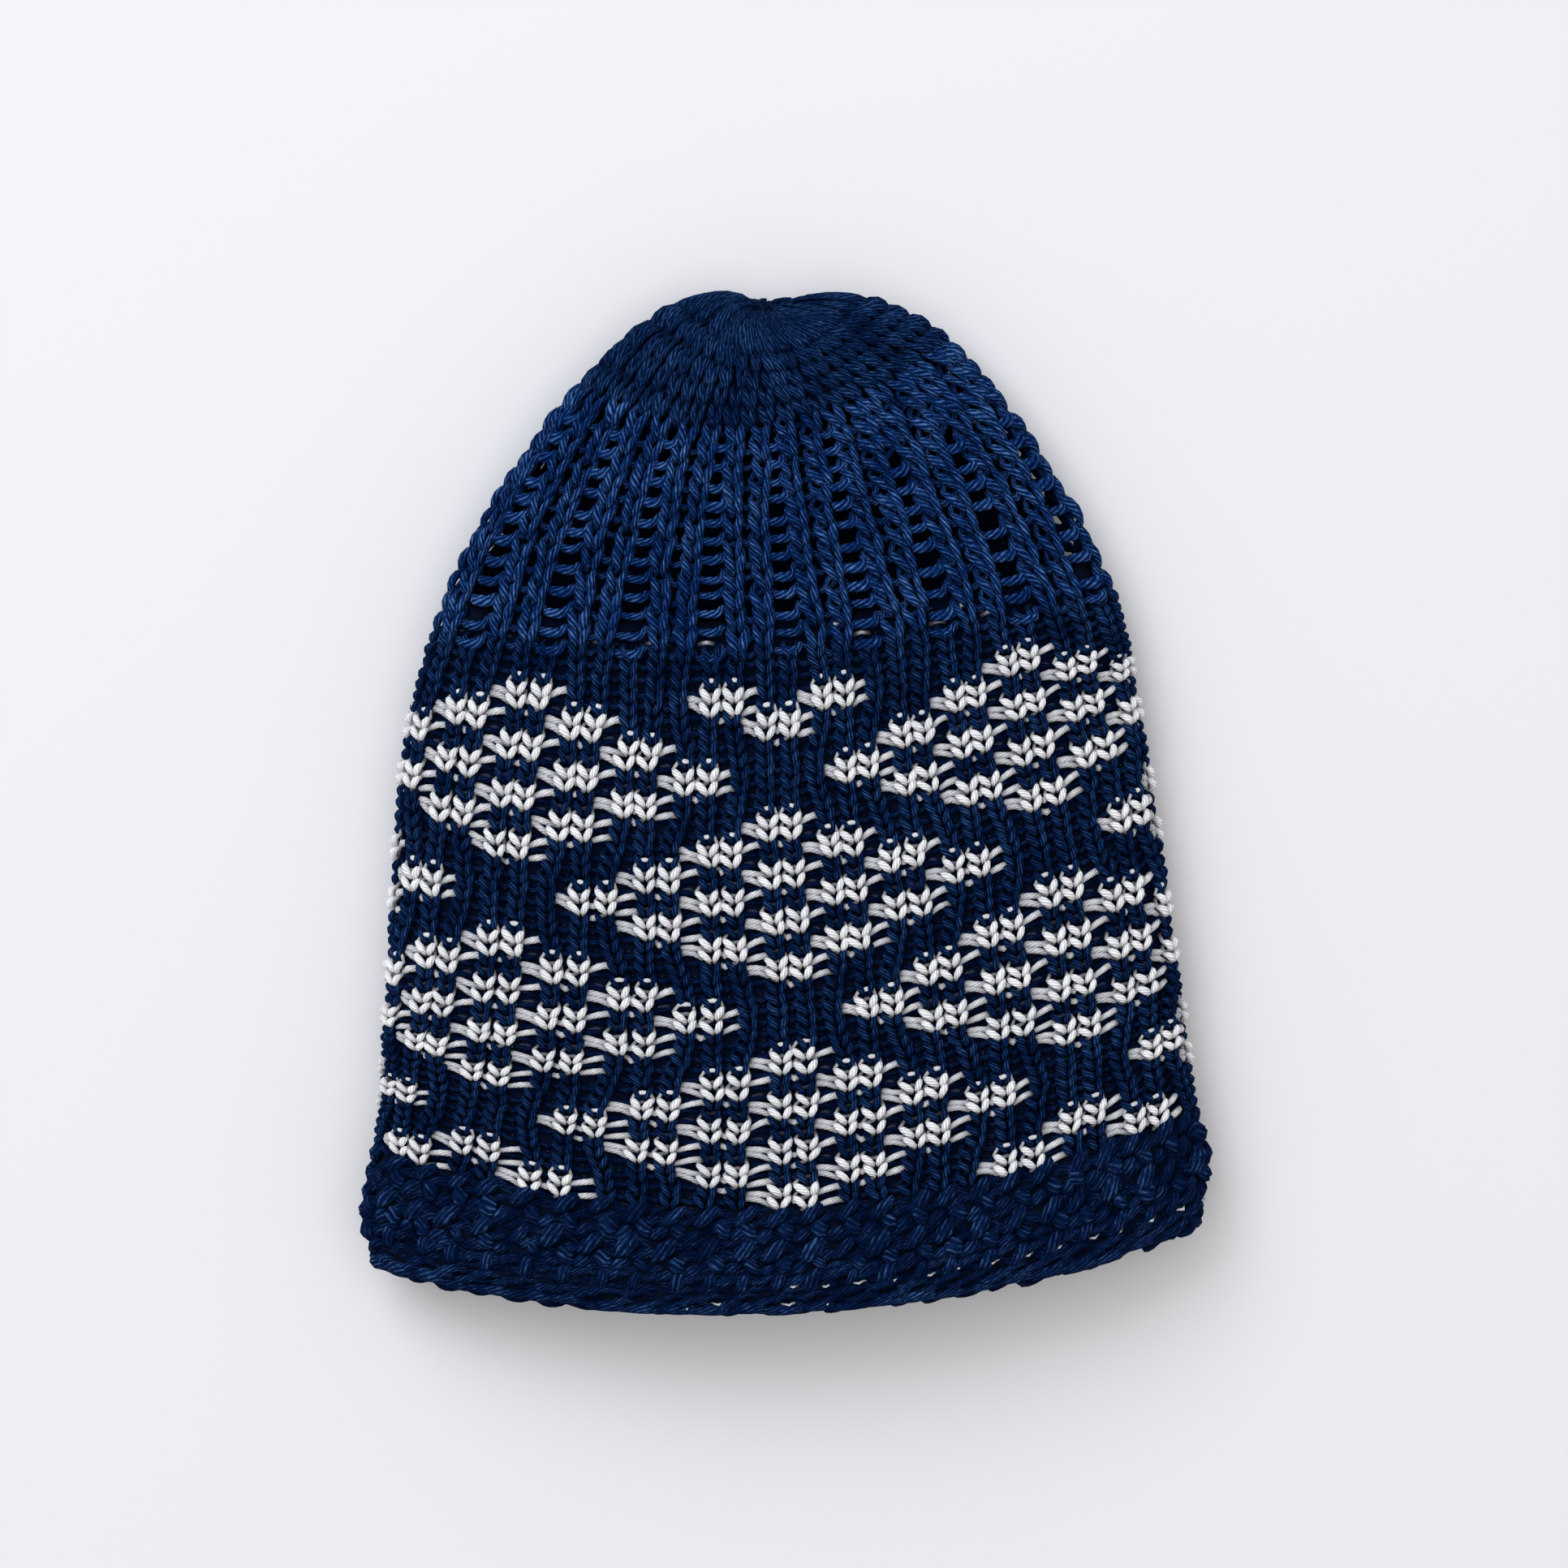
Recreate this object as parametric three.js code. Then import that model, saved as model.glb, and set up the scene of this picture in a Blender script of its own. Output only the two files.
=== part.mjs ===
// A knitted prayer cap lying on its back wall: crown towards +Y, mouth towards -Y, +Z up, in millimetres.
// The cap is a hollow, softly flattened bag. Four knitted stretches follow each other from mouth to crown:
// the brim band, the patterned body, the openwork ribs and the gathered crown. Each is a closed shell of
// its own, cut from one common surface, and keeps a hair's gap to the next.
import * as THREE from 'three';

// ---- Driving dimensions ----
const STITCHES_AROUND = 54;         // stitches in one round of the body
const STITCHES_PER_RIB = 3;         // two plain stitches and one dropped-back stitch
const RIBS = STITCHES_AROUND / STITCHES_PER_RIB;
const POINTS_PER_RIB = 4;           // two in the groove, two on the rib's back
const POINTS_AROUND = RIBS * POINTS_PER_RIB;
const PIECE_GAP = 0.4;              // between two neighbouring knitted stretches
const GROOVE_DEPTH = 1.3;           // how far the openwork grooves lie behind the ribs
const FRONT_FULLNESS = 2.4;         // exponent of the front's arch: 2 is an ellipse, more is squarer
const REST_SHARE = 0.72;            // share of the back's half width that lies flat
const OUTLINE_STEPS = 60;           // straight steps that stand for the arch of one section
const TANGENT_STEP = 0.5;           // length over which the surface's direction is measured
const INNER_TIP_DEPTH = 7;          // the inside of the crown ends this far below the gather

// The stretches, by their distance along the middle of the front, from the mouth's edge to the gather.
const HEM = 0;
const BRIM_TOP = 26.2;
const BODY_TOP = 165;
const RIBS_TOP = 218.2;
const GATHER = 249.2;

// One row for each section across the cap. along: distance from the mouth's edge up the front's middle.
// frontY and backY: where the round passes the middle of the front and of the back. leftX, leftY, rightX
// and rightY: its two side folds. middleX: the front's middle column. underZ, foldZ and overZ: height of
// the back, of the side folds and of the front.
const SECTION_COLUMNS =
  ['along', 'frontY', 'backY', 'leftX', 'leftY', 'rightX', 'rightY', 'middleX', 'underZ', 'foldZ', 'overZ'];
const SECTION_ROWS = [
  [HEM, -125.3, -101.6, -101.6, -113.6, 101.6, -104.6, 2, 0, 14, 34],
  [12.2, -111.6, -89.6, -103.8, -99.0, 104.1, -89.8, 2.2, 0, 14, 35],
  [BRIM_TOP, -96.8, -75.6, -100.8, -82.6, 101.2, -73.2, 2.6, 0, 13.5, 34],
  [74.2, -52.8, -27.6, -98.4, -47.6, 95.8, -31.2, 2.4, 0, 12.5, 32],
  [132.6, 3.8, 29.4, -94.4, 11.4, 87.0, 27.0, -1.4, 0, 12, 29],
  [BODY_TOP, 38.4, 60.4, -86.6, 43.0, 80.8, 53.0, -1.8, 0, 11.5, 28],
  [191.6, 65.8, 84.4, -72.6, 73.6, 62.8, 87.0, -3.8, 0, 11.5, 27],
  [RIBS_TOP, 92.4, 106.4, -51.0, 103.0, 41.0, 114.0, -4.6, 0, 11.5, 26],
  [232.2, 106.4, 118.0, -32.0, 120.6, 24.6, 123.6, -4.6, 1.6, 12, 24],
  [242.2, 116.4, 123.2, -15.4, 125.6, 10.4, 125.6, -4.6, 5, 13, 20.5],
  [GATHER, 123.2, 123.2, -4.6, 123.2, -4.6, 123.2, -4.6, 14, 14, 14],
];

// The stretches and their finish. levels: rows of facets along the cap.
const YARN_NAVY = 0x16305f;
const YARN_DEEP_NAVY = 0x0f2145;
const STRETCHES = [
  { name: 'brim_band', from: HEM, to: BRIM_TOP, wall: 5, levels: 4, color: YARN_DEEP_NAVY },
  { name: 'patterned_body', from: BRIM_TOP, to: BODY_TOP, wall: 4, levels: 12, color: YARN_NAVY },
  { name: 'openwork_ribs', from: BODY_TOP, to: RIBS_TOP, wall: 3.6, levels: 7, color: YARN_NAVY, grooved: true },
  { name: 'crown', from: RIBS_TOP, to: GATHER, wall: 4, levels: 7, color: YARN_NAVY },
];

// ---- The cap's surface ----

// Slope of a table column at one row, from the rows beside it.
function columnSlope(row, column) {
  const before = SECTION_ROWS[Math.max(row - 1, 0)];
  const after = SECTION_ROWS[Math.min(row + 1, SECTION_ROWS.length - 1)];
  return (after[column] - before[column]) / (after[0] - before[0]);
}

// The section at a distance along the cap, blended smoothly between two rows of the table.
function sectionAt(along) {
  const lastSpan = SECTION_ROWS.length - 2;
  const found = SECTION_ROWS.findIndex((row, index) => index > lastSpan || along < SECTION_ROWS[index + 1][0]);
  const start = Math.min(found, lastSpan);
  const [lower, upper] = [SECTION_ROWS[start], SECTION_ROWS[start + 1]];
  const span = upper[0] - lower[0];
  const s = (along - lower[0]) / span;
  const section = {};
  SECTION_COLUMNS.forEach((name, column) => {
    section[name] =
      lower[column] * (1 + 2 * s) * (1 - s) ** 2 +
      upper[column] * s ** 2 * (3 - 2 * s) +
      columnSlope(start, column) * span * s * (1 - s) ** 2 +
      columnSlope(start + 1, column) * span * s ** 2 * (s - 1);
  });
  return section;
}

// A point of the round. across: -1 at the left fold to 1 at the right one; middleY: frontY or backY.
// The round bows between its folds as a parabola does, and nothing reaches below the resting surface.
function roundPoint(section, across, middleY, height) {
  const centreX = (section.leftX + section.rightX) / 2;
  const halfWidth = (section.rightX - section.leftX) / 2;
  const lean = (section.rightY - section.leftY) / 2;
  const bow = (section.rightY + section.leftY) / 2 - middleY;
  const alongY = middleY + lean * across + bow * across ** 2;
  return new THREE.Vector3(centreX + halfWidth * across, alongY, Math.max(height, 0));
}

// The front half of a round, an arch from the left fold over the front to the right fold.
function frontArch(section) {
  const points = [];
  for (let step = 0; step <= OUTLINE_STEPS; step++) {
    const angle = Math.PI * (1 - step / OUTLINE_STEPS);
    const across = Math.sign(Math.cos(angle)) * Math.abs(Math.cos(angle)) ** (2 / FRONT_FULLNESS);
    const rise = Math.max(Math.sin(angle), 0) ** (2 / FRONT_FULLNESS);
    const height = section.foldZ + (section.overZ - section.foldZ) * rise;
    points.push(roundPoint(section, across, section.frontY, height));
  }
  return points;
}

// The back half, from the right fold down a rounded corner, along the flat and up to the left fold.
function backRest(section) {
  const cornerSteps = OUTLINE_STEPS / 4;
  const right = [];
  for (let step = 1; step <= cornerSteps; step++) {
    const angle = (Math.PI / 2) * (step / cornerSteps);
    const across = REST_SHARE + (1 - REST_SHARE) * Math.cos(angle);
    const height = section.foldZ - (section.foldZ - section.underZ) * Math.sin(angle);
    right.push([across, height]);
  }
  const left = right.map(([across, height]) => [-across, height]).reverse();
  return [...right, ...left].map(([across, height]) => roundPoint(section, across, section.backY, height));
}

// A round as evenly spaced points, starting at the front's middle column and going right.
function roundAt(along) {
  const section = sectionAt(along);
  const front = frontArch(section);
  const start = front.findIndex((point) => point.x > section.middleX);
  const before = front[start - 1];
  const share = (section.middleX - before.x) / (front[start].x - before.x);
  const first = before.clone().lerp(front[start], share);
  const path = [first, ...front.slice(start), ...backRest(section), ...front.slice(0, start), first];
  const reach = [0];
  for (let i = 1; i < path.length; i++) reach.push(reach[i - 1] + path[i].distanceTo(path[i - 1]));
  const length = reach[reach.length - 1];
  const points = [];
  let at = 1;
  for (let i = 0; i < POINTS_AROUND; i++) {
    // Half a step of offset puts the groove's two points either side of the dropped-back stitch.
    const wanted = (length * (i + 0.5)) / POINTS_AROUND;
    while (reach[at] < wanted) at++;
    points.push(path[at - 1].clone().lerp(path[at], (wanted - reach[at - 1]) / (reach[at] - reach[at - 1])));
  }
  return points;
}

// Outward directions of a round's points, square to the round and to the way along the cap.
function outwardAt(along) {
  const here = roundAt(along);
  const below = roundAt(Math.max(along - TANGENT_STEP, HEM));
  const above = roundAt(Math.min(along + TANGENT_STEP, GATHER - TANGENT_STEP / 2));
  return here.map((point, i) => {
    const around = here[(i + 1) % POINTS_AROUND].clone().sub(here[(i + POINTS_AROUND - 1) % POINTS_AROUND]);
    const upwards = above[i].clone().sub(below[i]);
    return around.cross(upwards).normalize();
  });
}

// How deep a point lies in a groove: full in the middle of the openwork, none at its two ends.
function grooveAt(along, index) {
  const middle = POINTS_PER_RIB / 2;
  const inGroove = index % POINTS_PER_RIB < middle;
  const share = (along - BODY_TOP) / (RIBS_TOP - BODY_TOP);
  return inGroove ? GROOVE_DEPTH * Math.sin(Math.PI * THREE.MathUtils.clamp(share, 0, 1)) : 0;
}

// A round moved inwards by a depth, and in its grooves by the groove's depth as well. Inwards is square to
// the surface at facing, so that the ends of two neighbouring stretches stay parallel.
function ringAt({ along, facing }, depth, grooved) {
  const outward = outwardAt(facing);
  return roundAt(along).map((point, i) => {
    const inwards = depth + (grooved ? grooveAt(along, i) : 0);
    return point.addScaledVector(outward[i], -inwards);
  });
}

// ---- Closed shells ----

// Triangles between two rings, or between a ring and a single tip.
function joinRings(triangles, lower, upper, outside) {
  const next = (ring, i) => ring[(i + 1) % ring.length];
  for (let i = 0; i < lower.length; i++) {
    const faces = [[lower[i], next(lower, i), next(upper, i)]];
    if (upper.length > 1) faces.push([lower[i], next(upper, i), upper[i]]);
    for (const face of faces) triangles.push(...(outside ? face : face.reverse()));
  }
}

// The closed wall of one stretch. A stretch that ends at the gather closes there, outside and inside.
function stretchGeometry({ from, to, wall, levels, grooved }) {
  const closes = to === GATHER;
  const bottom = from + (from === HEM ? 0 : PIECE_GAP / 2);
  const top = closes ? GATHER : to - PIECE_GAP / 2;
  const rows = Array.from({ length: levels + 1 }, (_, level) => {
    const along = bottom + ((top - bottom) * level) / levels;
    return { along, facing: level === 0 ? from : level === levels ? to : along };
  });
  const outer = rows.map((row) => (row.along === GATHER ? tip(0) : ringAt(row, 0, grooved)));
  const innerRows = rows.filter(({ along }) => !closes || along < GATHER - INNER_TIP_DEPTH);
  const inner = innerRows.map((row) => ringAt(row, wall, grooved));
  if (closes) inner.push(tip(INNER_TIP_DEPTH));
  const triangles = [];
  for (let i = 1; i < outer.length; i++) joinRings(triangles, outer[i - 1], outer[i], true);
  for (let i = 1; i < inner.length; i++) joinRings(triangles, inner[i - 1], inner[i], false);
  joinRings(triangles, outer[0], inner[0], false);
  if (!closes) joinRings(triangles, outer[levels], inner[levels], true);
  return new THREE.BufferGeometry().setFromPoints(triangles);
}

// The gather's point, or the inner tip a given depth below it.
function tip(depth) {
  const section = sectionAt(GATHER);
  return [new THREE.Vector3(section.middleX, section.frontY - depth, section.overZ)];
}

// ---- The cap ----
const cap = new THREE.Group();
for (const stretch of STRETCHES) {
  const yarn = new THREE.MeshStandardMaterial({ color: stretch.color, roughness: 0.85, metalness: 0 });
  const mesh = new THREE.Mesh(stretchGeometry(stretch), yarn);
  mesh.name = stretch.name;
  cap.add(mesh);
}

export default cap;
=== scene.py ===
"""A soft knitted prayer cap that lies on its back wall, its mouth towards -Y and its crown towards +Y.

Every stitch is worked out as yarn. A stitch is first drawn on flat fabric, as millimetres across,
millimetres up the cap and millimetres of depth. The fabric is then laid on the cap's rounded surface.
"""

import logging
from dataclasses import dataclass, field, fields, replace
from enum import Enum
from functools import cached_property

import bpy
import numpy as np
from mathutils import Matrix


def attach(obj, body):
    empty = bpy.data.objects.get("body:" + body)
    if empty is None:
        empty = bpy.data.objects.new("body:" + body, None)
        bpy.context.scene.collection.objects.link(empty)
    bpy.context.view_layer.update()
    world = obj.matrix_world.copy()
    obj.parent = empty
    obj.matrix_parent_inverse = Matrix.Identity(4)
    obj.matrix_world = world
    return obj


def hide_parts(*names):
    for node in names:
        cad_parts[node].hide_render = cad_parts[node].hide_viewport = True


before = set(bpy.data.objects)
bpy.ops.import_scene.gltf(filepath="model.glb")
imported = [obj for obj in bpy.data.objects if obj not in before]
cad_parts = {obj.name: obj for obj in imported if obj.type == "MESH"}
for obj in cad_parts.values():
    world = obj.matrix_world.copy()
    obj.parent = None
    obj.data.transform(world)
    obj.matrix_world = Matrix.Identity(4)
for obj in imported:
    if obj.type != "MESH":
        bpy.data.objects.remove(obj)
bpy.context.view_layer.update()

MM = 0.001
LOG = logging.getLogger("prayer_cap")
STITCHES = 54
# Between these depths in the fabric, in millimetres, yarn goes from lit to lost among the other fibres: its
# colour is mixed towards that of the fibres over it and towards painted shade.
SHALLOW = 0.4
DEEP = 3.2


class Slot(Enum):
    """The record's material slots."""

    NAVY = "navy_yarn"
    BRIM = "brim_yarn"
    WHITE = "white_yarn"


# ---- The cap's surface ----


@dataclass(frozen=True)
class CapForm:
    """The outer surface of the cap, met by the way round it and the distance up it.

    Each row of sections is one round: its distance up the front's middle, then frontY, backY, leftX, leftY,
    rightX, rightY, middleX, underZ, foldZ and overZ, all in millimetres. fullness is the power of the
    front's superellipse, and rest_share how much of the back's width lies flat between its round corners.
    The numbers of points, levels and steps around say how finely the surface is worked out.
    """

    sections: tuple = (
        (0, -122.6, -101.6, -101.6, -112.4, 101.6, -103.6, 2, 0, 14, 34),
        (12.2, -111.6, -89.6, -103.8, -99.0, 104.1, -89.8, 2.2, 0, 14, 35),
        (26.2, -96.8, -75.6, -100.8, -82.6, 101.2, -73.2, 2.6, 0, 13.5, 34),
        (74.2, -52.8, -27.6, -98.4, -47.6, 95.8, -31.2, 2.4, 0, 12.5, 32),
        (132.6, 3.8, 29.4, -94.4, 11.4, 87.0, 27.0, -1.4, 0, 12, 29),
        (165, 38.4, 60.4, -86.6, 43.0, 80.8, 53.0, -1.8, 0, 11.5, 28),
        (191.6, 65.8, 84.4, -72.6, 73.6, 62.8, 87.0, -3.8, 0, 11.5, 27),
        (218.2, 92.4, 106.4, -51.0, 103.0, 41.0, 114.0, -4.6, 0, 11.5, 26),
        (232.2, 106.4, 118.0, -32.0, 120.6, 24.6, 123.6, -4.6, 1.6, 12, 24),
        (242.2, 116.4, 123.2, -15.4, 125.6, 10.4, 125.6, -4.6, 5, 13, 20.5),
        (249.2, 123.2, 123.2, -4.6, 123.2, -4.6, 123.2, -4.6, 14, 14, 14),
    )
    fullness: float = 2.4
    rest_share: float = 0.72
    front_points: int = 361
    corner_points: int = 90
    levels: int = 300
    around: int = 540
    # The last level stays this much short of the gather, where all ways up would meet in one point.
    short_of_gather: float = 0.05
    # Yarn in the resting wall stays this much above the surface that it rests on.
    clearance: float = 0.02

    @property
    def length(self) -> float:
        """Distance from the mouth's edge to the gather, in millimetres."""
        return self.sections[-1][0]

    def section_at(self, along: np.ndarray) -> np.ndarray:
        """Sections between the table's rows, by a cubic through each row with the slope of its neighbours.

        Args:
            along: distances up the cap.

        Returns:
            One row of the table's values, without its distance, for each.
        """
        table = np.array(self.sections, float)
        at = table[:, 0]
        low = np.clip(np.arange(len(at)) - 1, 0, None)
        high = np.clip(np.arange(len(at)) + 1, None, len(at) - 1)
        slope = (table[high] - table[low]) / (at[high] - at[low])[:, None]
        i = np.clip(np.searchsorted(at, along, side="right") - 1, 0, len(at) - 2)
        span = (at[i + 1] - at[i])[:, None]
        s = (along - at[i])[:, None] / span
        blend = table[i] * (1 + 2 * s) * (1 - s) ** 2 + table[i + 1] * s**2 * (3 - 2 * s)
        blend += slope[i] * span * s * (1 - s) ** 2 + slope[i + 1] * span * s**2 * (s - 1)
        return blend[:, 1:]

    def outline(self, along: np.ndarray) -> tuple[np.ndarray, np.ndarray]:
        """Closed outlines of rounds, from the left fold over the front, the right fold and the back.

        The front is half a superellipse between the folds, and the back rounds a corner and lies flat. Both
        bow between the folds as a parabola does.

        Args:
            along: distances up the cap.

        Returns:
            Points of each outline, and the height of each point's start in steps along the outline.
        """
        columns = self.section_at(along).T[..., None]
        front_y, back_y, left_x, left_y, right_x, right_y, _, under, fold, over = columns
        angle = np.pi * (1 - np.linspace(0, 1, self.front_points))
        across = np.sign(np.cos(angle)) * np.abs(np.cos(angle)) ** (2 / self.fullness)
        rise = np.clip(np.sin(angle), 0, None) ** (2 / self.fullness)
        corner = np.linspace(0, np.pi / 2, self.corner_points)[1:]
        side = self.rest_share + (1 - self.rest_share) * np.cos(corner)
        drop = np.sin(corner)
        back_across = np.concatenate([side, -side[::-1]])
        back_drop = np.concatenate([drop, drop[::-1]])
        centre, half = (left_x + right_x) / 2, (right_x - left_x) / 2
        lean = (right_y - left_y) / 2
        sides = (right_y + left_y) / 2
        x = np.concatenate([centre + half * across, centre + half * back_across], 1)
        front_line = front_y + lean * across + (sides - front_y) * across**2
        back_line = back_y + lean * back_across + (sides - back_y) * back_across**2
        y = np.concatenate([front_line, back_line], 1)
        z = np.concatenate([fold + (over - fold) * rise, fold - (fold - under) * back_drop], 1)
        points = np.stack([x, y, np.clip(z, 0, None)], -1)
        points = np.concatenate([points, points[:, :1]], 1)
        reach = np.cumsum(np.linalg.norm(np.diff(points, axis=1), axis=2), axis=1)
        return points, np.concatenate([np.zeros((len(along), 1)), reach], 1)

    @cached_property
    def rounds(self) -> tuple[np.ndarray, np.ndarray, np.ndarray, np.ndarray]:
        """The surface on a grid of levels and shares of the way round.

        Each round starts at the front's middle column and goes right, evenly by distance. Outwards is the
        cross product of the way round and the way up.

        Returns:
            Points, outward directions, upward directions, and the rounds' lengths.
        """
        along = np.linspace(0, self.length, self.levels + 1)
        along[-1] -= self.short_of_gather
        points, reach = self.outline(along)
        middle = self.section_at(along)[:, 6]
        share = np.arange(self.around) / self.around
        grid = np.empty((len(along), self.around, 3))
        front = slice(self.front_points)
        for level, (outline, distance) in enumerate(zip(points, reach)):
            start = np.interp(middle[level], outline[front, 0], distance[front])
            wanted = (start + share * distance[-1]) % distance[-1]
            for axis in range(3):
                grid[level, :, axis] = np.interp(wanted, distance, outline[:, axis])
        round_way = np.roll(grid, -1, 1) - np.roll(grid, 1, 1)
        up_way = np.gradient(grid, along, axis=0)
        outward = np.cross(round_way, up_way)
        outward /= np.linalg.norm(outward, axis=2, keepdims=True)
        return grid, outward, up_way, reach[:, -1]

    def lookup(self, grid: np.ndarray, share: np.ndarray, along: np.ndarray) -> np.ndarray:
        """Values of a grid between its levels and shares, blended straight between the four nearest.

        Args:
            grid: values by levels and steps around.
            share: shares of the way round.
            along: distances up the cap.

        Returns:
            The blended values.
        """
        row = np.clip(along / self.length, 0, 1) * self.levels
        i = np.minimum(row.astype(int), self.levels - 1)
        u = (row - i)[..., None]
        column = (share % 1) * self.around
        j = column.astype(int) % self.around
        k = (j + 1) % self.around
        v = (column - np.floor(column))[..., None]
        lower = grid[i, j] * (1 - v) + grid[i, k] * v
        upper = grid[i + 1, j] * (1 - v) + grid[i + 1, k] * v
        return lower * (1 - u) + upper * u

    def stitch_width(self, along: np.ndarray) -> np.ndarray:
        """Width of one of the 54 stitches at distances up the cap, in millimetres."""
        levels = np.linspace(0, self.length, self.levels + 1)
        return np.interp(along, levels, self.rounds[3]) / STITCHES

    def place(self, share: np.ndarray, along: np.ndarray, depth: np.ndarray) -> np.ndarray:
        """Points at a depth from the cap's surface, that never sink below the resting surface.

        Args:
            share: shares of the way round.
            along: distances up the cap, that may run past the mouth's edge.
            depth: distance outwards, negative inside the surface.

        Returns:
            Points in millimetres.
        """
        points, outward, upward, _ = self.rounds
        placed = self.lookup(points, share, along)
        placed += self.lookup(outward, share, along) * depth[..., None]
        placed += self.lookup(upward, share, along) * np.minimum(along, 0)[..., None]
        placed[..., 2] = np.maximum(placed[..., 2], self.clearance)
        return placed


# ---- Yarn on flat fabric ----


def path_weights(knots: int, at: np.ndarray) -> tuple[np.ndarray, np.ndarray, np.ndarray]:
    """Weights that turn a path's knots into samples of a smooth curve through them.

    Between two knots the curve is a cubic. An inner knot's slope is half the step between its neighbours.

    Args:
        knots: number of knots.
        at: places of the samples, counted in knots.

    Returns:
        Weights of the knots, of the first slope and of the last slope.
    """
    i = np.minimum(at.astype(int), knots - 2)
    s = at - i
    rows = np.arange(len(at))
    points = np.zeros((len(at), knots))
    slopes = np.zeros((len(at), knots))
    np.add.at(points, (rows, i), (1 + 2 * s) * (1 - s) ** 2)
    np.add.at(points, (rows, i + 1), s**2 * (3 - 2 * s))
    np.add.at(slopes, (rows, i), s * (1 - s) ** 2)
    np.add.at(slopes, (rows, i + 1), s**2 * (s - 1))
    inner = np.arange(1, knots - 1)
    for step in (-1, 1):
        np.add.at(points.T, inner + step, 0.5 * step * slopes[:, inner].T)
    return points, slopes[:, 0], slopes[:, -1]


@dataclass(frozen=True)
class YarnPath:
    """The way of the yarn through one stitch, from its left edge to its right edge.

    Each knot is its place across in stitch widths from the stitch's middle, its height in rows, its depth
    in millimetres, its thickness as a share of the yarn's own, and how much of the row's rise it takes.
    The two edges come from the row, and the knots beside them follow the edges by a share. few names the
    samples that are enough where the cap rests on it.
    """

    knots: tuple
    samples: tuple
    mirrored: bool = False
    follow: float = 0.0
    few: tuple = ()

    @property
    def table(self) -> np.ndarray:
        """All knots of the path, with the mirrored half added where the path is symmetric."""
        half = np.array(self.knots, float)
        if not self.mirrored:
            return half
        return np.concatenate([half, (half * [-1, 1, 1, 1, 1])[-2::-1]])

    @property
    def places(self) -> np.ndarray:
        """Places of the samples and of the path's end, counted in knots."""
        at = np.array(self.samples, float)
        if self.mirrored:
            at = np.concatenate([at, 2 * at[-1] - at[-2::-1]])
        return at

    def widened(self, by: float) -> "YarnPath":
        """The same path, wider by a factor."""
        return replace(self, knots=tuple((by * knot[0], *knot[1:]) for knot in self.knots))

    def used(self, resting: np.ndarray) -> np.ndarray:
        """Which samples a stitch uses: all, or only a few where it is part of the resting wall.

        Args:
            resting: which stitches are in the resting wall.

        Returns:
            True for each sample that is used.
        """
        count = len(self.places) - 1
        enough = np.isin(np.arange(count), self.few) if self.few else np.ones(count, bool)
        return ~resting[..., None] | enough


@dataclass
class Rows:
    """Rows of stitches side by side, as arrays of rows by stitches. A single number holds for all of them.

    column is each stitch's middle in stitch widths from the front's middle, left and right its edges
    measured from there in the same widths. along is its height up the cap and pitch the row's height, in
    millimetres. The edge values say where the yarn crosses from one stitch to the next: its height in rows,
    its depth in millimetres and its steepness. rise is how far the top of each stitch's loop stands further
    out than usual, sink how far the whole stitch lies further in, and lean how far it slants, in widths for
    each row.
    """

    column: np.ndarray
    left: np.ndarray | float
    right: np.ndarray | float
    along: np.ndarray | float
    pitch: np.ndarray | float
    edge_height: np.ndarray | float
    edge_depth: np.ndarray | float
    edge_steepness: np.ndarray | float = 0.0
    rise: np.ndarray | float = 0.0
    sink: np.ndarray | float = 0.0
    lean: np.ndarray | float = 0.0
    # The wall that the cap rests on is so many stitches wide on either side of the back's middle.
    RESTING_REACH = 10.5

    def __post_init__(self) -> None:
        """Spreads single numbers over all stitches."""
        for item in fields(self):
            setattr(self, item.name, np.broadcast_to(getattr(self, item.name), self.column.shape))

    @property
    def resting(self) -> np.ndarray:
        """Which stitches are in the wall that the cap rests on."""
        return np.abs(self.column % STITCHES - STITCHES / 2) < self.RESTING_REACH

    def at_left(self, values: np.ndarray) -> np.ndarray:
        """The values at each stitch's left edge, from those at the right edges."""
        return np.roll(values, 1, axis=1)

    def only(self, part: slice | np.ndarray) -> "Rows":
        """The same stitches, of some of the rows."""
        return Rows(**{item.name: getattr(self, item.name)[part] for item in fields(self)})


def edge_values(kinds: list, table: tuple) -> tuple[np.ndarray, np.ndarray, np.ndarray]:
    """Height, depth and steepness of a yarn at the right edge of each stitch.

    Args:
        kinds: where each row of the table but the last holds. The first that holds counts.
        table: heights in rows, depths in millimetres, and steepness. The last row holds everywhere else.

    Returns:
        The three arrays.
    """
    kind = np.select(kinds, range(len(kinds)), len(kinds))
    height, depth, steepness = np.moveaxis(np.array(table)[kind], -1, 0)
    return height, depth, steepness


@dataclass(frozen=True)
class Unevenness:
    """How unevenly a hand knits: the spread of chance in each measure of a stitch.

    column and lean are in stitch widths, sink in millimetres, and swell is a share of the yarn's thickness.
    along is a share of the row's height, but in the band it is in millimetres.
    """

    column: float
    along: float
    sink: float
    swell: float
    lean: float = 0.0


@dataclass(frozen=True)
class Pull:
    """A place where the knitting was tugged aside, as a bell round the cap and up it.

    column and reach are its middle and width in stitch widths, along and height the same up the cap in
    millimetres. shift is how far the stitches in its middle are moved to the right, in stitch widths.
    """

    column: float
    reach: float
    along: float
    height: float
    shift: float


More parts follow.
